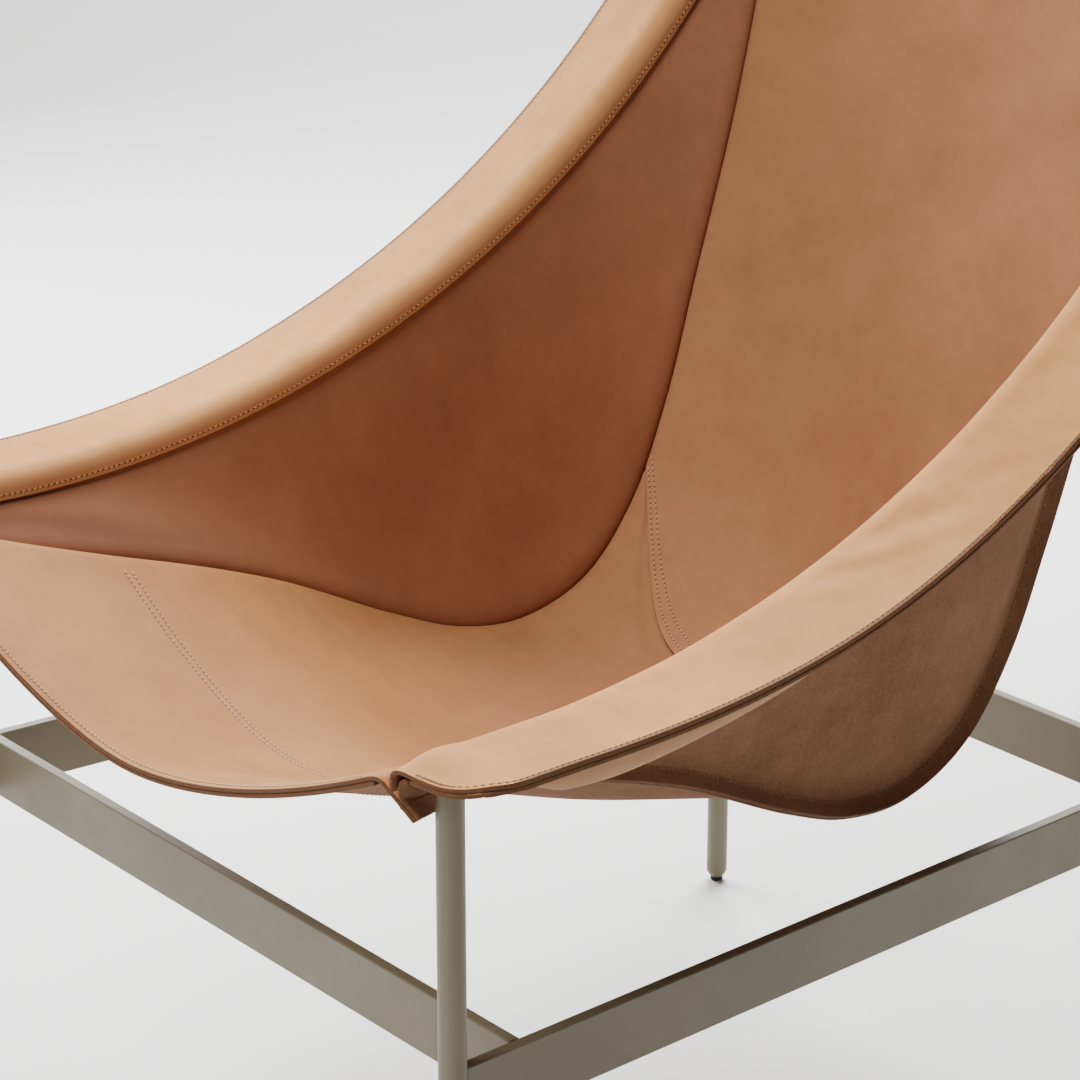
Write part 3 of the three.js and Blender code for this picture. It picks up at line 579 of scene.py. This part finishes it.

# The back panel laps over the seat in a deep tongue and rises to the free top edge.
# A facing doubles its top edge on the outside. Higher up the colour is darkened, a painted shade.
BACK_ROWS, BACK_WAVE, BACK_RIPPLE = 120, 160, 0.6
back_shares = np.linspace(LAP_SHARE, 1, BACK_ROWS)
back_grid = sling_rows(back_shares)
edge_away = np.minimum(back_shares - LAP_SHARE, 1 - back_shares) * SEAM_LENGTH
back_calm = smooth(0, CALM_EDGE, edge_away)[:, None] * flat_rim
back_move = ripple(back_grid, BACK_WAVE, BACK_RIPPLE) * back_calm
back_grid = back_grid + facing_way(back_grid) * back_move[..., None]
# Painted shade: the map that darkens the upper back.
back_high = smooth(0.62, 0.92, back_shares)[:, None] + 0 * flat_rim
back, back_area = hide("back_panel_hide", back_grid, (back_grain, flesh, cut_edge),
                       (back_high, 0 * back_high))
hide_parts("back_panel")

TOP_FACING_ROWS, TOP_FACING_EDGE = 34, EDGE_COLUMNS + 1
top_shares = np.linspace(1 - TOP_FACING_SHARE, 1, TOP_FACING_ROWS)
top_grid = sling_rows(top_shares)[:, TOP_FACING_EDGE:-TOP_FACING_EDGE]
top_grid = top_grid - facing_way(top_grid) * PLY
top_facing, top_facing_area = hide("top_facing_hide", top_grid, (flesh, back_grain, cut_edge))
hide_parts("top_facing")

# The side panels are crescents that hang from the sleeves and meet the seat and back in the flange.
# They belly outwards a little above the seam. Painted shade darkens the grain low at the front and the flesh
# on the flange.
mirror = np.array([-1.0, 1.0, 1.0])
SIDE_SWELL, SWELL_FROM, SWELL_HEIGHT = 0.035, 30, 1.6
SIDE_CORNER, SIDE_CORNER_MOST = 18.0, 0.35
SIDE_SPAN_COLUMNS, SIDE_CORNER_COLUMNS, SIDE_HEM_COLUMNS = 40, 14, 7
HEM_FOLD, HEM_OVER = (-27, -12), 9


def side_rows(shares):
    """Rows of a side panel from the flange's edge up to the sleeve: flange, corner, bellied span, hem."""
    q = section(shares)
    fall = q["side_edge"] - q["hang"]
    length = np.linalg.norm(fall, axis=-1)
    swell = OUT * (SIDE_SWELL * np.maximum(length - SWELL_FROM, 0))[:, None]
    cut = np.clip(SIDE_CORNER / length, 0, SIDE_CORNER_MOST)
    v = (1 - cut)[:, None] * np.linspace(0, 1, SIDE_SPAN_COLUMNS)[None, :]
    span = q["hang"][:, None] + fall[:, None] * v[..., None]
    span = span + swell[:, None] * (np.sin(math.pi * v) * v * SWELL_HEIGHT)[..., None]
    turn_end = q["side_edge"] + q["flange"] * CORNER_ON
    bend = corner(turn_end, q["side_edge"], span[:, -1], SIDE_CORNER_COLUMNS)
    w = np.linspace(0, 1, FLANGE_COLUMNS)[None, :-1, None]
    flange = q["side_tip"][:, None] * (1 - w) + turn_end[:, None] * w
    u = HANG_FRONT_U + (TOP_U - HANG_FRONT_U) * shares
    over = 1 - smooth(*HEM_FOLD, u)
    knee = rail_point(u, lap_out(1), 1 + over)
    top = rail_point(u, lap_out(1) + HEM_OVER * over, 1 + 0.4 * over)
    hem = corner(q["hang"], knee, top, SIDE_HEM_COLUMNS)[:, 1:]
    return np.concatenate([flange, bend, span[:, -2::-1], hem], axis=1)


def eased(rows, reach, share):
    """Each row's points moved towards their neighbours' mean, weighed by a bell curve of the distance."""
    run = run_along(rows, axis=1)
    bell = np.exp(-((run[:, :, None] - run[:, None, :]) / reach) ** 2)
    weight = bell * np.gradient(run, axis=1)[:, None, :]
    mean = (weight @ rows) / weight.sum(axis=2, keepdims=True)
    hold = smooth(0, 2 * reach, np.minimum(run, run[:, -1:] - run))
    return rows + (mean - rows) * (hold * share[:, None])[..., None]


FRONT_STRETCH, EASE_REACH, SIDE_WAVE, SIDE_RIPPLE = 0.05, 4.5, 120, 0.9
side_shares = np.concatenate([np.linspace(0, FRONT_STRETCH, 26), np.linspace(FRONT_STRETCH, 1, 216)[1:]])
side_grid = side_rows(side_shares)
side_grid = eased(side_grid, EASE_REACH, 1 - smooth(0.04, 0.1, side_shares))
side_column = np.arange(side_grid.shape[1])[None, :]
side_length = np.linalg.norm(side_grid[:, 0] - side_grid[:, -1], axis=-1)
side_calm = smooth(60, 160, side_length)[:, None] * np.sin(math.pi * side_column / side_column.max())
side_calm = side_calm * smooth(14, 24, side_column)
side_move = ripple(side_grid, SIDE_WAVE, SIDE_RIPPLE) * side_calm
side_grid = side_grid + facing_way(side_grid) * side_move[..., None]


def both(name, grid, faces, painted_shade=None):
    """The left piece and its mirror image, whose columns run the other way so that it faces the same side."""
    left, area = hide(name + "_left", grid, faces, painted_shade)
    mirrored = None if painted_shade is None else [side[:, ::-1] for side in painted_shade]
    right, area = hide(name + "_right", (grid * mirror)[:, ::-1], faces, mirrored)
    return {"left": left, "right": right}, area


# Painted shade: the flesh on the flange is darkened from the front on, and the grain low at the front near
# the seam.
flange_painted_shade = (1 - smooth(7, 13, side_column)) * smooth(0.08, 0.22, side_shares)[:, None]
side_front = 1 - smooth(0.08, 0.21, side_shares)[:, None]
shaded = 1 - smooth(16 + 18 * side_front, 38 + 18 * side_front, side_column)
shaded = shaded * (1 - smooth(0.14, 0.31, side_shares))[:, None]
sides, side_area = both("side_panel_hide", side_grid, (side_grain_painted_shade, flesh, cut_edge), (shaded, flange_painted_shade))
for hand, piece in sides.items():
    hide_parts("side_panel_" + hand)
    "arm_band_hide_" + hand

# The arm sleeves: a band, its grain painted paler as painted light, goes over the rail and lies flat to the
# outside, a lower layer goes under it.
# Both are sewn together along the outer edge and the ends; the lower layer is cut away round the posts.
# Where the band rolls over the rail it takes a painted shade tint, and along its outer rim a darker painted
# shade.
BAND_OUT_FRONT, BAND_OUT_REAR, BAND_DROOP, BAND_DROP = 58.0, 68.0, 5.5, 20.5
BAND_WIDE_BY, BAND_SINKS = 400, (60, 330)
CREST = POST_R + FIT_GAP + LEATHER / 2 + 0.5


def band_out(u):
    """How far out from the rail the band's edge lies: it widens from the front to the rear."""
    return BAND_OUT_FRONT + (BAND_OUT_REAR - BAND_OUT_FRONT) * smooth(0, BAND_WIDE_BY, u)


def band_edge(u):
    """Height of the band's outer edge over the rail's middle: it sinks on the way up the arm."""
    return CREST - 0.3 - BAND_DROOP * smooth(*BAND_SINKS, u)


FRONT_CORNER_R, REAR_CORNER_R = 38.0, 18.0


def rounding(f, width, radius):
    """How far a corner is cut back at a share f of the width: a quarter circle over its last stretch."""
    g = np.clip((f * width - width + radius) / radius, 0, 1)
    return radius * (1 - np.sqrt(1 - g * g))


def band_u(r, f):
    """How far along the rail row r lies at a share f of the width; square ends inside, rounded outside."""
    start = -SLEEVE_FRONT + 4 * f + rounding(f, BAND_OUT_FRONT, FRONT_CORNER_R)
    end = RAIL_LENGTH + SLEEVE_REAR - 3 * f - rounding(f, BAND_OUT_REAR, REAR_CORNER_R)
    return start + (end - start) * r


KNUCKLE_H, KNUCKLE_U, KNUCKLE_W = 3.0, -1, 15
NOSE_DROOP, NOSE_U = 4.5, (-33, -7)


def post_bump(u):
    """The knuckle on the front post pushes the band up a little, in a bell curve."""
    return KNUCKLE_H * np.exp(-(((u - KNUCKLE_U) / KNUCKLE_W) ** 2))


def nose(u):
    """In front of the post nothing carries the band, so its free end droops."""
    return NOSE_DROOP * (1 - smooth(*NOSE_U, u))


def band_height(u, f):
    """Height of the band over the rail's middle: level, drooping outwards, with the bump over the post."""
    bump = post_bump(u) * (1 - smooth(0.05, 0.75, f))
    return CREST + (band_edge(u) - CREST) * f + bump - nose(u)


def band_top(r, f, drop):
    """The band's flat top at row r and share f of its width, or a layer that much below it."""
    u = band_u(r, f)
    return rail_point(u, f * band_out(u), band_height(u, f) - drop)


def across(columns, steps):
    """Columns of points joined row by row by the seam's kind of smooth curve, cut into even steps."""
    return through(np.stack(columns), steps).swapaxes(0, 1)


CURL_END, CURL_STEPS = 0.16, 6
BAND_FLAT = CURL_END + (1 - CURL_END) * (1 - (1 - np.linspace(0, 1, 24)[1:]) ** 1.5)
CREST_COLUMN = 36
band_rows = np.linspace(0, 1, 240)


def band_grid_of(rows):
    """Rows of the band from its lap beside the rail, curled over the rail, then flat to the outer edge."""
    u, lap = band_u(rows, 0.0), lap_out(2)
    rise, fall = post_bump(u), nose(u)
    inner = [(lap, CREST + LEATHER / 2 - BAND_DROP), (lap, -3.5), (lap, 2.4 - 0.25 * fall),
             (lap + 2.2, 7.2 + 0.4 * rise - 0.6 * fall), (lap + 7.4, CREST - 0.9 + 0.9 * rise - 0.9 * fall),
             (-2.0, CREST + 0.1 + rise - fall)]
    curl = [rail_point(u, b, n) for b, n in inner]
    curl = across(curl + [band_top(rows, f, 0.0) for f in (CURL_END / 2, CURL_END)], CURL_STEPS)
    return np.concatenate([curl, band_top(rows[:, None], BAND_FLAT[None, :], 0.0)], axis=1)


BAND_FOLDS = np.array([  # along the rail, out from it, height
    [388.0, 16.0, -1.0], [360.0, 21.0, 1.0], [332.0, 20.0, -0.7], [412.0, 6.0, 0.6], [304.0, 18.0, 0.4],
    [446.0, 34.0, -0.4]])
FOLD_LONG, FOLD_SHORT, FOLD_TURN, CURL_W = 34.0, 8.5, math.radians(34), 30


def folds(grid):
    """Soft diagonal folds on the band: ridges and hollows, each a long bell curve turned against the rail."""
    along = run_along(grid[:, CREST_COLUMN])[:, None] - SLEEVE_FRONT
    out = run_along(grid, axis=1) - CURL_W
    height = np.zeros(grid.shape[:2])
    for u, b, rise in BAND_FOLDS:
        x = (along - u) * math.cos(FOLD_TURN) + (out - b) * math.sin(FOLD_TURN)
        y = (out - b) * math.cos(FOLD_TURN) - (along - u) * math.sin(FOLD_TURN)
        height = height + rise * np.exp(-(x / FOLD_LONG) ** 2 - (y / FOLD_SHORT) ** 2)
    return height


BAND_WAVE, BAND_RIPPLE = 60, 0.35
band_grid = band_grid_of(band_rows)
band_share = np.linspace(0, 1, band_grid.shape[1])[None, :]
band_calm = smooth(0.2, 0.5, band_share) * (1 - smooth(0.72, 1, band_share))
band_move = (ripple(band_grid, BAND_WAVE, BAND_RIPPLE) + folds(band_grid)) * band_calm
band_grid = band_grid + facing_way(band_grid) * band_move[..., None]
# Painted shade on the band: 1 where it rolls over the rail, 2 along its outer rim.
band_painted_shade = (1 - smooth(9, 25, np.arange(band_grid.shape[1])))[None, :] + np.zeros((len(band_grid), 1))
band_painted_shade[:, -len(BAND_FLAT):] += 2 * smooth(0.925, 0.985, BAND_FLAT)
bands, band_area = both("arm_band_hide", band_grid, (grain_painted_light, flesh, cut_edge), (band_painted_shade, 0 * band_painted_shade))
for hand, piece in bands.items():
    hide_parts("arm_band_" + hand)
    "arm_rail_" + hand

# Under the band the sleeve's lower layer hangs slack between the posts and is shut at its front end.
# Its section is full in front and slim up the arm, in shares of the reach and of the depth, edge first.
FULL = ((0.97, -0.1), (0.89, -0.48), (0.75, -0.82), (0.56, -1.06), (0.34, -1.12), (0.11, -1.02))
SLIM = ((0.97, 0.14), (0.85, -0.08), (0.69, -0.27), (0.5, -0.44), (0.3, -0.58), (0.09, -0.68))
SHUT = (8.0, 7.8, 7.2, 4.5, -5.0, -13.0)
LOWER_REACH, LOWER_DEPTH, EDGE_PLY, LOWER_STEPS = 48.0, 22.5, 3.5, 5
LOWER_START, LOWER_STOP, LOWER_WIDE, EDGE_JOIN = 7, 48, 1.06, (0.82, 0.93, 1.0)


def lower_grid_of(rows):
    """Rows of the lower layer from its lap beside the rail, slack under it, up to the sewn outer edge."""
    in_start, in_end, lap = POST_R + LOWER_START, RAIL_LENGTH - LOWER_STOP, lap_out(0)
    u0 = in_start + (in_end - in_start) * rows
    columns = [rail_point(u0, lap, 1.0), rail_point(u0, lap, -4.5), rail_point(u0, lap + 1.2, -8.6),
               rail_point(u0, lap + 5.4, -12.4)]
    opening = smooth(0, 0.08, rows)
    start, end = band_u(0.0, EDGE_JOIN[0]), band_u(1.0, EDGE_JOIN[0])
    for (fb, fn), (sb, sn), shut in zip(FULL[::-1], SLIM[::-1], SHUT[::-1]):
        out = smooth(0.2, 0.98, fb)
        first, last = in_start + (start - in_start) * out, in_end + (end - in_end) * out
        u = first + (last - first) * rows
        full = smooth(-40, 120, u) * (1 - smooth(230, 540, u))
        b = (sb + (fb - sb) * full) * LOWER_REACH * band_out(u) / BAND_OUT_REAR * LOWER_WIDE
        n = (sn + (fn - sn) * full) * LOWER_DEPTH
        columns.append(rail_point(u, b, shut + (n - shut) * opening))
    return across(columns + [band_top(rows, f, EDGE_PLY) for f in EDGE_JOIN], LOWER_STEPS)


lower_grid = lower_grid_of(band_rows)
# Its outer face is the underside grain, painted paler as light from the floor.
lowers, lower_area = both("sleeve_underside_hide", lower_grid, (flesh, underside_grain_painted_light, cut_edge))
for hand, piece in lowers.items():
    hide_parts("sleeve_underside_" + hand)
    "arm_band_hide_" + hand

# The sleeve hems: a narrow strip turned under each end of the bands and sewn there.
# It tapers towards the rounded corner, where it runs out under the lower layer.
HEM_W, HEM_SPREAD, HEM_TAPER = 0.016, np.linspace(0, 0.82, 30), 0.85
hem_share = np.linspace(0, 1, 10)[:, None] * HEM_W * (1 - HEM_TAPER * smooth(0.45, 0.82, HEM_SPREAD))
for end, rows in (("front", hem_share), ("rear", 1 - hem_share[::-1])):
    hem_grid = band_top(rows, HEM_SPREAD, PLY + 0.05)
    hems, hem_area = both("sleeve_hem_hide_" + end, hem_grid, (flesh, grain_painted_light, cut_edge))
    for hand, piece in hems.items():
        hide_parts("sleeve_hem_" + end + "_" + hand)
        "arm_band_hide_" + hand

# The stitching: waxed beige thread, a stitch every four and a half millimetres, pulled into the hide.
# Each stitch is a short swelling of thread, and between it and the next lies a small dark disc, a painted
# shadow for the punched hole.
PITCH, STITCH_L, STITCH_R, HOLE_R = 4.6, 3.1, 0.7, 0.85
STITCH_LIFT, HOLE_LIFT = LEATHER / 2 + 0.12, LEATHER / 2 + 0.06
HOLE_LOW, HOLE_HIGH = (0.075, 0.034, 0.017), (0.13, 0.062, 0.033)


def thread_finish(name, low, high):
    """Waxed thread: a fine twist shows as flecks of tone and relief."""
    f = Finish(name, Roughness=0.7, Specular_IOR_Level=0.1)
    twist = f.noise(1800.0, 2.0)
    f.feed(Base_Color=f.tint(twist.span(*SWING), low, high))
    f.bump(twist, 0.5, 0.0002)
    return f


# One beige thread throughout: the tan and brown threads are it darkened, painted shade, for the rows on the
# undersides, the outsides and in the seams.
cream_thread = thread_finish("cream_waxed_thread", (0.46, 0.275, 0.15), (0.62, 0.41, 0.25))
pale_thread = thread_finish("pale_waxed_thread", (0.38, 0.20, 0.088), (0.50, 0.285, 0.14))
thread_painted_shade = thread_finish("waxed_thread_painted_shade", (0.30, 0.15, 0.075), (0.42, 0.23, 0.12))
thread_deep_painted_shade = thread_finish("waxed_thread_deep_painted_shade", (0.17, 0.078, 0.033), (0.26, 0.128, 0.058))
# Painted shadow: the holes are flat dark discs.
hole = Finish("stitch_hole_painted_shadow", Roughness=0.9)
hole.feed(Base_Color=hole.tint(hole.noise(900.0).span(*SWING), HOLE_LOW, HOLE_HIGH))


def inset(grid, away):
    """The line on a grid that runs the given distance inside its first row, and the normals there."""
    run = run_along(grid)
    k = np.clip((run < away).sum(axis=0) - 1, 0, len(grid) - 2)[None, :]
    a, b = np.take_along_axis(run, k, 0), np.take_along_axis(run, k + 1, 0)
    w = ((away - a) / np.maximum(b - a, 1e-9))[..., None]
    at = lambda g, row: np.take_along_axis(g, row[..., None], 0)
    pick = lambda g: (at(g, k) * (1 - w) + at(g, k + 1) * w)[0]
    return pick(grid), unit(pick(facing_way(grid)))


def spaced(line, normal):
    """Points a pitch apart along a line, its direction and normal there, and the points between."""
    run = run_along(line)
    at = np.arange(PITCH / 2, run[-1] - PITCH / 2, PITCH)
    pick = lambda values, where: np.stack([np.interp(where, run, values[:, k]) for k in range(3)], -1)
    along = unit(pick(line, at + 1) - pick(line, at - 1))
    return pick(line, at), along, unit(pick(normal, at)), pick(line, at + PITCH / 2)


ring = np.arange(6)
ROUND = len(ring)
around = ring * math.pi / 3
stitch_ring = np.stack([0 * around, np.cos(around), np.sin(around)], -1)
stitch_shape = np.concatenate([  # along the stitch, width, height above the hide
    stitch_ring * [0, r, r * 0.8] + [x, 0, z]
    for x, r, z in ((-0.5, 0.45, -0.55), (-0.28, 1.0, 0.15), (0.28, 1.0, 0.15), (0.5, 0.45, -0.55))])
stitch_shape = stitch_shape * [STITCH_L, STITCH_R, STITCH_R]
STITCH_POINTS, next_on = len(stitch_shape), (ring + 1) % ROUND
stitch_sides = np.concatenate([np.stack([k + ring, k + next_on, k + ROUND + next_on, k + ROUND + ring], -1)
                               for k in range(0, STITCH_POINTS - ROUND, ROUND)])
hole_shape = np.stack([np.cos(around), np.sin(around), 0 * around], -1) * HOLE_R


def sew(name, rows, thread):
    """A seam's stitches and holes as one mesh; each row is a line, its normals and the side it shows on."""
    points, quads, caps, dots = [], [], [], []
    count = 0
    for line, normal, side in rows:
        p, along, up, gap = spaced(line, normal * side)
        up = unit(up - along * dot(up, along))
        axes = np.stack([along, np.cross(up, along), up], axis=1)
        stitches = (p[:, None] + (stitch_shape + [0, 0, STITCH_LIFT]) @ axes).reshape(-1, 3)
        holes = (gap[:, None] + (hole_shape + [0, 0, HOLE_LIFT]) @ axes).reshape(-1, 3)
        first = count + STITCH_POINTS * np.arange(len(p))[:, None]
        quads.append((first[..., None] + stitch_sides[None]).reshape(-1, 4))
        caps += [first + ring[::-1], first + STITCH_POINTS - ROUND + ring]
        dots.append(count + len(stitches) + ROUND * np.arange(len(p))[:, None] + ring)
        points += [stitches, holes]
        count += len(stitches) + len(holes)
    quads, caps, dots = np.concatenate(quads), np.concatenate(caps), np.concatenate(dots)
    which = np.concatenate([np.zeros(len(quads) + len(caps)), np.ones(len(dots))])
    faces = quads.tolist() + caps.tolist() + dots.tolist()
    piece = piece_of_chair(name, np.concatenate(points), faces, (thread, hole), which)


def cut(line, first, last):
    """The stretch of a line and its normals between two shares of its points."""
    n = len(line[0])
    return line[0][int(first * n):int(last * n)], line[1][int(first * n):int(last * n)]


def turned_over(line):
    """The same line with its normals reversed, for a grid that was read backwards or crosswise."""
    return line[0], -line[1]


def flipped(line):
    """The mirror image of a line; its normals mirror too."""
    return line[0] * mirror, line[1] * mirror


EDGE_ROW, SEAM_ROW, BAND_ROW, RIM_INSET = 5.0, 12.0, 4.5, 3.0
FACING_INSETS, LAP_INSETS = (4.5, 11.0), (7.0, 16.5)
HANDS = (("left", lambda line: line), ("right", flipped))

front_row = cut(inset(seat_grid, EDGE_ROW), 0.12, 0.88)
facing_lines = [FACING_SHARE - d / SEAM_LENGTH for d in FACING_INSETS]
facing_rows = [cut(at_share(seat_grid, seat_shares, s * facing_skew), 0.13, 0.89) for s in facing_lines]
sew("seat_stitching", [(*row, 1) for row in (front_row, *facing_rows)], cream_thread)
sew("facing_stitching", [(*at_share(facing_grid, facing_shares, s), -1) for s in facing_lines]
    + [(*inset(facing_grid, EDGE_ROW), -1)], thread_painted_shade)

lap_rows = [cut(inset(back_grid, d), 0.09, 0.91) for d in LAP_INSETS]
top_row = cut(turned_over(inset(back_grid[::-1], EDGE_ROW)), 0.12, 0.88)
sew("back_stitching", [(*row, 1) for row in (*lap_rows, top_row)], cream_thread)
sew("top_facing_stitching", [(*turned_over(inset(top_grid[::-1], EDGE_ROW)), -1)], thread_painted_shade)

seam_row = turned_over(inset(side_grid.swapaxes(0, 1), SEAM_ROW))
seat_seam = inset(seat_grid.swapaxes(0, 1)[::-1], SEAM_ROW)
back_seam = inset(back_grid.swapaxes(0, 1)[::-1], SEAM_ROW)
for hand, turn in HANDS:
    seam_rows = [(*turn(row), -1) for row in (seam_row, seat_seam, back_seam)]
    sew("seam_stitching_" + hand, seam_rows, thread_deep_painted_shade)

inner_row = turned_over(inset(band_grid.swapaxes(0, 1), BAND_ROW))


def rim_row(first, drop):
    """The stitch line round the band's free edges: the edge's outline, along and out, moved in."""
    f, r = np.linspace(first, 1, 240), np.linspace(0, 1, 600)[1:-1]
    u = np.concatenate([band_u(0.0, f), band_u(r, 1.0), band_u(1.0, f[::-1])])
    b = np.concatenate([f, np.ones_like(r), f[::-1]]) * band_out(u)
    way = unit(np.stack([np.gradient(u), np.gradient(b)], -1))
    u, b = u + way[:, 1] * RIM_INSET, b - way[:, 0] * RIM_INSET
    n = band_height(u, b / band_out(u)) - drop
    return rail_point(u, b, n), unit(rail_point(u, b, n + 1) - rail_point(u, b, n))


for hand, turn in HANDS:
    sew("sleeve_stitching_" + hand, [(*turn(inner_row), 1), (*turn(rim_row(0.03, 0.0)), 1)], pale_thread)
    sew("sleeve_underside_stitching_" + hand, [(*turn(rim_row(0.95, EDGE_PLY)), -1)], thread_deep_painted_shade)

# The floor and the light: a pale seamless floor, a bright soft window behind and one beside the chair,
# a panel in front, a weak fill and a light for the floor behind. They only show the chair.
FLOOR_HALF, FLOOR_LOW, FLOOR_HIGH = 9.0, (0.84, 0.84, 0.835), (0.86, 0.86, 0.855)
SKY_COLOUR, SKY_STRENGTH = (1, 0.99, 0.975, 1), 0.1
floor_corners = np.array([(-1, -1, 0), (1, -1, 0), (1, 1, 0), (-1, 1, 0)]) * FLOOR_HALF
floor_mesh = bpy.data.meshes.new("floor")
floor_mesh.from_pydata(floor_corners, [], [(0, 1, 2, 3)])
floor = bpy.data.objects.new("floor", floor_mesh)
bpy.context.scene.collection.objects.link(floor)
paper = Finish("pale_floor", Specular_IOR_Level=0.1)
paper.feed(Base_Color=paper.tint(paper.noise(2.0).span(*SWING), FLOOR_LOW, FLOOR_HIGH),
           Roughness=paper.noise(30.0).span(*SWING, 0.85, 0.95))
floor_mesh.materials.append(paper.material)

sky = bpy.data.worlds.new("studio")
bpy.context.scene.world = sky
sky.use_nodes = True
sky.node_tree.nodes["Background"].inputs["Color"].default_value = SKY_COLOUR
sky.node_tree.nodes["Background"].inputs["Strength"].default_value = SKY_STRENGTH


def soft_light(name, place, aim, size, watts):
    """A round lamp of the given width at a place, turned so that it faces a point."""
    lamp = bpy.data.lights.new(name, "AREA")
    lamp.shape, lamp.size, lamp.energy = "DISK", size, watts
    piece = bpy.data.objects.new(name, lamp)
    piece.location = place
    forward = unit(np.array(aim, float) - place)
    piece.rotation_euler = (math.acos(-forward[2]), 0, math.atan2(-forward[0], forward[1]))
    bpy.context.scene.collection.objects.link(piece)


CHAIR_MIDDLE, PANEL_W = (0, 0, 0.4), 1.8
soft_light("rear_window", (-1.2, 1.6, 3.0), CHAIR_MIDDLE, PANEL_W, 230)
soft_light("side_window", (-2.8, 0.2, 1.7), CHAIR_MIDDLE, PANEL_W, 150)
soft_light("front_panel", (0.0, -2.2, 2.8), CHAIR_MIDDLE, PANEL_W, 100)
soft_light("right_fill", (3.0, -0.6, 1.9), CHAIR_MIDDLE, PANEL_W, 10)
soft_light("backdrop_light", (-3.6, 3.6, 4.0), (-4.2, 4.2, 0.0), 3.5, 420)
